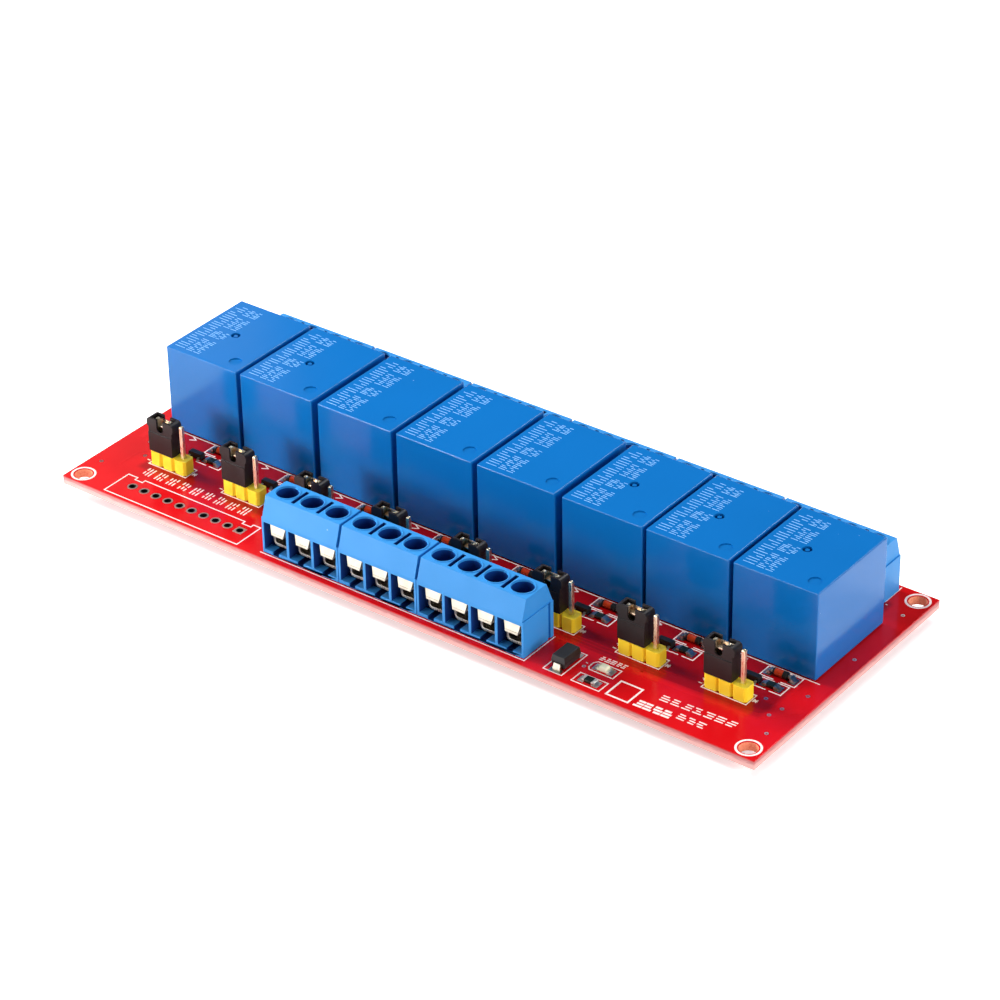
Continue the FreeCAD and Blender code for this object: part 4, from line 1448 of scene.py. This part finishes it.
@dataclass
class Jumpers:
    """The eight jumpers: yellow headers, square pins, black caps and the clips in them."""

    finishes: Finishes
    pitch: float = PIN_PITCH
    ways: int = PIN_WAYS
    pin: float = 0.64
    pin_reach: float = -1.4
    chamfer: float = 0.4
    cap_wall: float = 0.5
    rim: float = 1.5
    ear: float = 0.3
    notch: float = 1.35
    notch_depth: float = 2.2
    notch_foot: float = 0.6
    seat: float = 0.35
    flare: float = 0.15
    step: float = 0.12
    step_below: float = 0.35
    point_inset: float = 0.15
    point_fall: float = 0.2

    def header(self, limits: Box) -> bpy.types.Object:
        """Models one header: a chamfered block for each way, fused side by side."""
        ways = []
        for way in range(self.ways):
            left = limits.low.x + self.pitch * way
            block = add_block(f"way_{way}", (left, limits.low.y, limits.low.z),
                              (left + self.pitch, limits.high.y, limits.high.z))
            with editing(block, "EDGE"):
                select_edges(block, lambda a, b: abs(a.z - b.z) > 1)
                bevel_selected(self.chamfer, 1)
            ways.append(block)
        body = fused(*ways)
        round_edges(body, 0.07, 2, 30)
        return body

    def pins(self, header: Box, tip: float) -> bpy.types.Object:
        """Models the three pins of one header, with pointed tips."""
        made = []
        for way in range(self.ways):
            x, y = header.low.x + self.pitch * (way + 0.5), header.centre.y
            pin = add_block(f"pin_{way}", (x - self.pin / 2, y - self.pin / 2, self.pin_reach),
                            (x + self.pin / 2, y + self.pin / 2, tip))
            with editing(pin, "FACE"):
                select_faces(pin, lambda middle, normal: normal.z > 0.9)
                bpy.ops.mesh.inset(thickness=self.point_inset * MM)
            with editing(pin, "VERT"):
                edge = self.pin / 2 - 0.01
                select_points(pin, lambda p: p.z > tip - 0.01 and max(abs(p.x - x), abs(p.y - y)) > edge)
                shift((0, 0, -self.point_fall))
            round_edges(pin, 0.06, 3, 25)
            made.append(pin)
        return joined("pins", made)

    def cap(self, limits: Box) -> bpy.types.Object:
        """Models one cap: a hollow block with flared ears and an open notch with a round foot.

        Args:
            limits: The box of the CAD cap, ears included.

        Returns:
            The moulding, open at the top and the bottom.
        """
        low, high = limits.low, Vector((limits.high.x, limits.high.y, limits.high.z - self.seat))
        body = add_block("cap", (low.x + self.ear, low.y, low.z),
                         (high.x - self.ear, high.y, high.z - self.rim - self.flare))
        width = high.x - low.x
        with editing(body, "FACE"):
            select_faces(body, lambda middle, normal: normal.z > 0.9)
            extrude((0, 0, self.flare))
            stretch((width / (width - 2 * self.ear), 1, 1), limits.centre)
            extrude((0, 0, self.rim))
        with editing(body, "EDGE"):
            select_edges(body, lambda a, b: min(a.z, b.z) > high.z - 0.01 and abs(a.y - b.y) > 1)
            bevel_selected(0.7, 4)
        inside = add_block("inside", (low.x + self.ear + self.cap_wall, low.y + self.cap_wall, low.z - 1),
                           (high.x - self.ear - self.cap_wall, high.y - self.cap_wall, high.z + 1))
        middle = limits.centre.x
        notch = add_block("notch", (middle - self.notch / 2, low.y - 1, high.z - self.notch_depth),
                          (middle + self.notch / 2, high.y + 1, high.z + 1))
        with editing(notch, "EDGE"):
            base = high.z - self.notch_depth + 0.1
            select_edges(notch, lambda a, b: max(a.z, b.z) < base and abs(a.y - b.y) > 1)
            bevel_selected(self.notch_foot, 6)
        shelf = high.z - self.notch_depth - self.step_below
        carve(body, inside, notch,
              add_block("front_step", (low.x - 1, low.y - 1, shelf),
                        (high.x + 1, low.y + self.step, high.z + 1)),
              add_block("rear_step", (low.x - 1, high.y - self.step, shelf),
                        (high.x + 1, high.y + 1, high.z + 1)))
        round_edges(body, 0.1, 2, 30)
        return body

    def clip(self, cap: Box) -> bpy.types.Object:
        """Models the metal bridge of one cap, with a curled tongue between the pins."""
        middle, line, low = cap.centre.x, cap.centre.y, cap.low.z
        plate = add_block("clip", (middle - 1.7, line + 0.32, low + 1.0),
                          (middle + 1.7, line + 0.62, low + 5.7))
        tongue = add_block("tongue", (middle - 0.7, line - 0.58, low + 4.8),
                           (middle + 0.5, line + 0.4, low + 5.1))
        with editing(tongue, "VERT"):
            select_points(tongue, lambda p: p.y < line)
            shift((0, 0, -0.15))
        fused(plate, tongue)
        round_edges(plate, 0.06, 2, 30)
        return plate

    def build(self) -> None:
        """Builds one jumper and copies it to each channel."""
        header, cap = node_box("jumper_header_1"), node_box("jumper_cap_1")
        samples = {"header": self.header(header), "pins": self.pins(header, node_box("jumper_pins").high.z),
                   "cap": self.cap(cap), "clip": self.clip(cap)}
        pins, clips = [], []
        for number in range(1, CHANNELS + 1):
            move = at(node_box(f"jumper_header_{number}").low.x - header.low.x, 0)
            for part, slot in (("header", "yellow_header_plastic"), ("cap", "black_cap_plastic")):
                present(copied(samples[part], f"jumper_{number}_{part}", move), self.finishes.plastic[part],
                        slot, f"jumper_{part}_{number}")
            pins.append(copied(samples["pins"], f"pins_{number}", move))
            clips.append(copied(samples["clip"], f"clip_{number}", move))
        present(joined("jumper_header_pins", pins), self.finishes.metal["pin"], "pin_metal", "jumper_pins")
        present(joined("jumper_cap_clips", clips), self.finishes.metal["clip"], "clip_metal", "jumper_clips")
        discard(*samples.values())


@dataclass
class ChannelParts:
    """The small parts in front of each relay: diode, resistor, transistor, pads and print."""

    finishes: Finishes
    top: float = BOARD_TOP
    diode: tuple[float, float] = (1.7, 7.7)
    resistor: tuple[float, float] = (1.9, 4.75)
    transistor: tuple[float, float] = (-1.4, 4.7)
    diode_radius: float = 0.6
    ink: float = 0.015
    line: float = 0.2
    pad_margin: float = 0.2
    lead_bends: tuple[tuple[float, float], ...] = ((0.15, 0.0), (0.2, 0.34), (0.18, 0.0))
    lamp_resistor: tuple[float, float] = (36.65, -23.4)

    def end_blob(self, name: str, x: float, y: float, width: float, deep: float, height: float,
                 lean: float) -> bpy.types.Object:
        """A fillet of solder on its pad, high against the part and thin at its foot.

        Args:
            name: The name of the piece.
            x: The middle of its foot.
            y: The line of the part.
            width: Its reach along X.
            deep: Its extent along Y.
            height: The height against the part.
            lean: 1 where the part is on its right, -1 where it is on its left.

        Returns:
            The fillet on its pad.
        """
        reach, side, margin = width / 2, deep / 2, self.pad_margin
        pad = add_block(name, (x - reach - margin, y - side - margin, self.top - 0.01),
                        (x + reach + margin, y + side + margin, self.top + 0.035))
        blob = add_block("blob", (x - reach, y - side, self.top), (x + reach, y + side, self.top + height))
        with editing(blob, "FACE"):
            bpy.ops.mesh.select_all(action="SELECT")
            bpy.ops.mesh.subdivide(number_cuts=2)
        with editing(blob, "VERT"):
            outer, raised = x - lean * reach, self.top + 0.1
            select_points(blob, lambda p: p.z > raised and abs(p.x - outer) < width * 0.2)
            stretch((1, 0.7, 0.25), (outer, y, self.top))
            bpy.ops.mesh.select_all(action="DESELECT")
            second = outer + lean * width / 3
            select_points(blob, lambda p: p.z > raised and abs(p.x - second) < width * 0.1)
            stretch((1, 0.85, 0.55), (outer, y, self.top))
        apply_modifier(blob, "SUBSURF", levels=2, render_levels=2)
        return joined(name, [pad, blob])

    def diode_parts(self) -> dict[str, list[bpy.types.Object]]:
        """Models one glass diode: tube, dark band, end sleeves and solder at both ends."""
        (x, y), z = self.diode, self.top + self.diode_radius - 0.05
        tube = add_rod("tube", (x - 0.15, y, z), self.diode_radius, 2.3, Axis.X, 32)
        with editing(tube, "EDGE"):
            select_edges(tube, lambda a, b: abs(a.x - b.x) < 0.01)
            bevel_selected(0.3, 4)
        bands = [add_rod("band", (x + place, y, z), self.diode_radius + 0.012, width, Axis.X, 32)
                 for place, width in ((0.75, 0.9), (-1.1, 0.5))]
        for band in bands:
            round_edges(band, 0.16, 3)
        sleeves = [add_rod("sleeve", (x + side * 1.5, y, z), 0.34, 0.6, Axis.X, 28) for side in (-1, 1)]
        for sleeve in sleeves:
            round_edges(sleeve, 0.12, 3)
        blobs = [self.end_blob("diode_blob", x + side * 2.15, y, 0.9, 1.3, 0.8, -side) for side in (-1, 1)]
        return {"tube": [tube], "band": bands, "metal": sleeves, "solder": blobs}

    def resistor_parts(self, x: float, y: float) -> dict[str, list[bpy.types.Object]]:
        """Models one flat resistor: dark glazed body, tinned ends and solder on its pads."""
        body = add_block("body", (x - 0.72, y - 0.6, self.top + 0.03), (x + 0.72, y + 0.6, self.top + 0.55))
        round_edges(body, 0.04, 2)
        ends = [add_block("end", (x + side * 0.82 - 0.19, y - 0.625, self.top),
                          (x + side * 0.82 + 0.19, y + 0.625, self.top + 0.55)) for side in (-1, 1)]
        for end in ends:
            round_edges(end, 0.07, 3)
        blobs = [self.end_blob("resistor_blob", x + side * 1.3, y, 0.62, 1.2, 0.5, -side) for side in (-1, 1)]
        return {"body": [body], "metal": ends, "solder": blobs}

    def transistor_parts(self) -> dict[str, list[bpy.types.Object]]:
        """Models one small transistor: drafted black body and bent leads."""
        x, y = self.transistor
        body = add_block("transistor", (x - 1.4, y - 0.62, self.top + 0.12),
                         (x + 1.4, y + 0.62, self.top + 1.02))
        with editing(body, "VERT"):
            select_points(body, lambda p: p.z > self.top + 0.95)
            stretch((0.93, 0.82, 1), (x, y, 0))
        round_edges(body, 0.06, 2)
        leads = []
        for lead_x, side in ((x - 0.95, -1), (x + 0.95, -1), (x, 1)):
            lead = add_block("lead", (lead_x - 0.2, y + side * 0.6 - 0.06, self.top + 0.35),
                             (lead_x + 0.2, y + side * 0.6 + 0.06, self.top + 0.5))
            with editing(lead, "FACE"):
                select_faces(lead, lambda middle, normal: normal.y * side > 0.9)
                for out, drop in self.lead_bends:
                    extrude((0, side * out, -drop))
            round_edges(lead, 0.03, 1)
            leads.append(lead)
        return {"package": [body], "lead": leads}

    def strokes(self) -> list[Stroke]:
        """The printed lines of one channel, from its bare pin."""
        lines = outline([(-6.5, -1.42), (1.42, -1.42), (1.42, 1.43), (-6.5, 1.43)])
        lines += outline([(1.5, 3.5), (-0.5, 3.5), (-0.5, 6.0), (1.5, 6.0)], closed=False)
        lines += outline([(2.3, 3.5), (4.25, 3.5), (4.25, 6.0), (2.3, 6.0)], closed=False)
        lines += outline([(1.0, 6.4), (-1.3, 6.4), (-1.3, 9.0), (1.0, 9.0)], closed=False)
        lines += outline([(2.5, 6.4), (4.8, 6.4), (4.8, 9.0), (2.5, 9.0)], closed=False)
        lines += outline([(-5.9, 9.1), (-5.0, 8.6), (-5.9, 8.1)], closed=False)
        lines += [((1.75, -0.1), (2.25, 0.5)), ((2.25, -0.1), (1.75, 0.5)), ((1.65, 0.2), (2.35, 0.2)),
                  ((-7.2, 0.3), (-7.2, 0.9)), ((-7.5, 0.6), (-6.9, 0.6)), ((-7.4, -0.6), (-7.0, -0.6))]
        return lines

    def build(self) -> None:
        """Builds one channel and copies its parts to the eight places."""
        groups = [("diode", "tube", self.finishes.glass, "diode_glass", ("glass_diodes",)),
                  ("diode", "band", self.finishes.plastic["package"], "black_moulding", ()),
                  ("diode", "metal", self.finishes.metal["lead"], "tinned_lead", ()),
                  ("diode", "solder", self.finishes.metal["solder"], "tinned_lead", ()),
                  ("resistor", "body", self.finishes.plastic["ceramic"], "resistor_ceramic",
                   ("chip_resistors",)),
                  ("resistor", "metal", self.finishes.metal["lead"], "tinned_lead", ()),
                  ("resistor", "solder", self.finishes.metal["solder"], "tinned_lead", ()),
                  ("transistor", "package", self.finishes.plastic["package"], "black_moulding",
                   ("transistor_bodies",)),
                  ("transistor", "lead", self.finishes.metal["lead"], "tinned_lead", ("transistor_leads",))]
        parts = {"diode": self.diode_parts(), "resistor": self.resistor_parts(*self.resistor),
                 "transistor": self.transistor_parts()}
        places = []
        for number in range(1, CHANNELS + 1):
            header = node_box(f"jumper_header_{number}")
            places.append((header.high.x - PIN_PITCH / 2, header.centre.y))
        lamp_move = at(self.lamp_resistor[0] - self.resistor[0], self.lamp_resistor[1] - self.resistor[1])
        for part, kind, material, slot, nodes in groups:
            pieces = [copied(sample, f"{part}_{kind}_{number}", at(x, y))
                      for number, (x, y) in enumerate(places) for sample in parts[part][kind]]
            if part == "resistor":
                pieces += [copied(sample, f"{part}_{kind}_lamp", lamp_move) for sample in parts[part][kind]]
            present(joined(f"{part}_{kind}", pieces), material, slot, *nodes, angle=50)
        for group in parts.values():
            for samples in group.values():
                discard(*samples)
        strokes = [((x + a[0], y + a[1]), (x + b[0], y + b[1])) for x, y in places for a, b in self.strokes()]
        present(draw_strokes("channel_print", strokes, self.line, self.top, self.top + self.ink),
                self.finishes.ink, "red_board")


@dataclass
class SupplyParts:
    """The parts of the supply: black diode with two tabs and the white lamp."""

    finishes: Finishes
    small: ChannelParts
    top: float = BOARD_TOP
    tab_half: float = 0.7
    tab_gauge: float = 0.2
    tab_rise: float = 0.9
    pad_half: float = 1.1
    pad_reach: float = 0.55
    lens_inset: float = 0.35

    def build_diode(self) -> None:
        """Models the diode: a drafted body with a parting line and two folded tabs on solder."""
        limits = node_box("supply_diode")
        low, high, middle = limits.low, limits.high, limits.centre
        body = add_block("supply_diode_body", low, high)
        with editing(body, "FACE"):
            bpy.ops.mesh.select_all(action="SELECT")
            bpy.ops.mesh.bisect(plane_co=middle * MM, plane_no=(0, 0, 1))
        with editing(body, "VERT"):
            select_points(body, lambda p: abs(p.z - middle.z) > 0.5)
            stretch((0.86, 0.93, 1), middle)
        round_edges(body, 0.08, 3, 12)
        present(body, self.finishes.plastic["package"], "black_moulding", "supply_diode")
        tabs = []
        box = node_box("supply_diode_tabs")
        for side in (-1, 1):
            face = low.y if side < 0 else high.y
            outer = box.low.y if side < 0 else box.high.y
            tab = add_block("tab", (middle.x - self.tab_half, min(face, outer), self.top),
                            (middle.x + self.tab_half, max(face, outer), self.top + self.tab_gauge))
            with editing(tab, "FACE"):
                select_faces(tab, lambda where, normal: normal.z > 0.9)
                extrude((0, 0, self.tab_rise))
                stretch((0.85, 0.45, 1), (middle.x, face, self.top + 1))
            round_edges(tab, 0.06, 2)
            end = outer + side * self.pad_reach
            pad = add_block("pad", (middle.x - self.pad_half, min(face, end), self.top - 0.01),
                            (middle.x + self.pad_half, max(face, end), self.top + 0.04))
            tabs += [tab, pad]
        present(joined("supply_diode_folds", tabs), self.finishes.metal["strip"], "tinned_lead",
                "supply_diode_tabs")

    def build_lamp(self) -> None:
        """Models the lamp: a thin base, a milky lens block with drafted sides, and its solder."""
        limits = node_box("supply_lamp")
        low, high, middle = limits.low, limits.high, limits.centre
        base = add_block("lamp_base", low, (high.x, high.y, low.z + 0.35))
        round_edges(base, 0.04, 2)
        lens = add_block("lens", (low.x + self.lens_inset, low.y, low.z + 0.3),
                         (high.x - self.lens_inset, high.y, high.z))
        with editing(lens, "VERT"):
            select_points(lens, lambda p: p.z > high.z - 0.1)
            stretch((0.88, 0.82, 1), middle)
        round_edges(lens, 0.06, 3)
        present(joined("lamp_body", [base, lens]), self.finishes.plastic["lamp"], "lamp_plastic",
                "supply_lamp")
        blobs = [self.small.end_blob("lamp_blob", middle.x + side * 1.3, middle.y, 0.62, 1.2, 0.45, -side)
                 for side in (-1, 1)]
        present(joined("lamp_solder", blobs), self.finishes.metal["solder"], "tinned_lead", angle=50)

    def build(self) -> None:
        """Builds the supply parts."""
        self.build_diode()
        self.build_lamp()


@dataclass
class Studio:
    """White paper under soft lamps, and the camera at the photograph's place."""

    finishes: Finishes
    floor_level: float = -1.72
    floor_size: float = 6000.0
    camera_place: tuple[float, float, float] = (289.03, -374.40, 303.67)
    right: tuple[float, float, float] = (0.79953, 0.60045, -0.01437)
    down: tuple[float, float, float] = (0.30847, -0.43102, -0.84798)
    forward: tuple[float, float, float] = (-0.51536, 0.67355, -0.52984)
    angle_of_view: float = 16.066
    clip: tuple[float, float] = (0.01, 20.0)
    sky: tuple[tuple[float, float], ...] = ((0.1, 0.3), (0.3, 0.06), (0.8, 0.06), (0.97, 0.5))

    def build_floor(self) -> None:
        """Lays the paper that the module stands on."""
        deselect_all()
        bpy.ops.mesh.primitive_plane_add(size=self.floor_size * MM, location=(0, 0, self.floor_level * MM))
        floor = settle("backing_paper")
        floor.data.materials.append(self.finishes.paper)

    def build_world(self) -> None:
        """Shades the room by height, from the pairs of height and level in the sky."""
        world = bpy.data.worlds.new("room")
        world.use_nodes = True
        nodes, links = world.node_tree.nodes, world.node_tree.links
        way = nodes.new("ShaderNodeTexCoord")
        parts = nodes.new("ShaderNodeSeparateXYZ")
        bands = nodes.new("ShaderNodeValToRGB")
        links.new(way.outputs["Generated"], parts.inputs[0])
        links.new(parts.outputs["Z"], bands.inputs[0])
        links.new(bands.outputs[0], nodes["Background"].inputs["Color"])
        stops = bands.color_ramp.elements
        stops[0].position, stops[1].position = self.sky[0][0], self.sky[-1][0]
        for place, _ in self.sky[1:-1]:
            stops.new(place)
        for stop, (_, level) in zip(stops, self.sky):
            stop.color = (level, level, level, 1.0)
        bpy.context.scene.world = world

    def add_lamp(self, name: str, place: Point, target: Point, size: float, power: float,
                 spread: float = 180, mirrored: bool = True) -> None:
        """Adds one soft lamp.

        Args:
            name: The lamp's name.
            place: Its place in millimetres.
            target: What it points at, in millimetres.
            size: The side of its square.
            power: Its power in watts.
            spread: The angle that its grid lets out, in degrees.
            mirrored: Whether glossy faces show it. A lamp that they don't show can't wash out the relay
                tops seen from an end.
        """
        data = bpy.data.lights.new(name, "AREA")
        data.spread = math.radians(spread)
        data.size = size * MM
        data.energy = power
        lamp = bpy.data.objects.new(name, data)
        lamp.location = Vector(place) * MM
        lamp.rotation_euler = (Vector(target) - Vector(place)).to_track_quat("-Z", "Y").to_euler()
        lamp.visible_glossy = mirrored
        bpy.context.collection.objects.link(lamp)

    def build_camera(self) -> None:
        """Puts the camera where the photograph was taken."""
        data = bpy.data.cameras.new("camera")
        data.lens_unit = "FOV"
        data.angle = math.radians(self.angle_of_view)
        data.clip_start, data.clip_end = self.clip
        camera = bpy.data.objects.new("camera", data)
        right, up = Vector(self.right), -Vector(self.down)
        back = -Vector(self.forward)
        turn = Matrix((right, up, back)).transposed().to_4x4()
        camera.matrix_world = Matrix.Translation(Vector(self.camera_place) * MM) @ turn
        bpy.context.collection.objects.link(camera)
        bpy.context.scene.camera = camera

    def build(self) -> None:
        """Sets up the floor, the lamps, the room and the camera."""
        self.build_floor()
        self.build_world()
        self.add_lamp("left_key", (-900, 0, 450), (0, 0, 0), 420, 19.6, mirrored=False)
        self.add_lamp("rear_key", (40, 430, 540), (0, 0, 0), 260, 1.7)
        self.add_lamp("right_fill", (620, -60, 200), (0, 0, 0), 300, 3.2, mirrored=False)
        self.add_lamp("front_fill", (-430, -640, 200), (0, 0, 10), 380, 3.5)
        self.add_lamp("rear_glint", (-490, 400, 330), (-60, 0, 10), 140, 0.035)
        self.add_lamp("left_accent", (-190, -260, 70), (-46, -4, 9), 60, 0.009, 24)
        self.build_camera()
        bpy.context.scene.view_settings.view_transform = "Standard"


def main() -> None:
    """Builds every sub-assembly of the relay module in order."""
    logging.basicConfig(level=logging.INFO, format="%(message)s")
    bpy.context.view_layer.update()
    finishes = Finishes()
    small = ChannelParts(finishes)
    for assembly in (CircuitBoard(finishes), ScrewTerminals(finishes), RelayRow(finishes), Jumpers(finishes),
                     small, SupplyParts(finishes, small), SolderSide(finishes), Studio(finishes)):
        assembly.build()


if __name__ == "__main__":
    main()
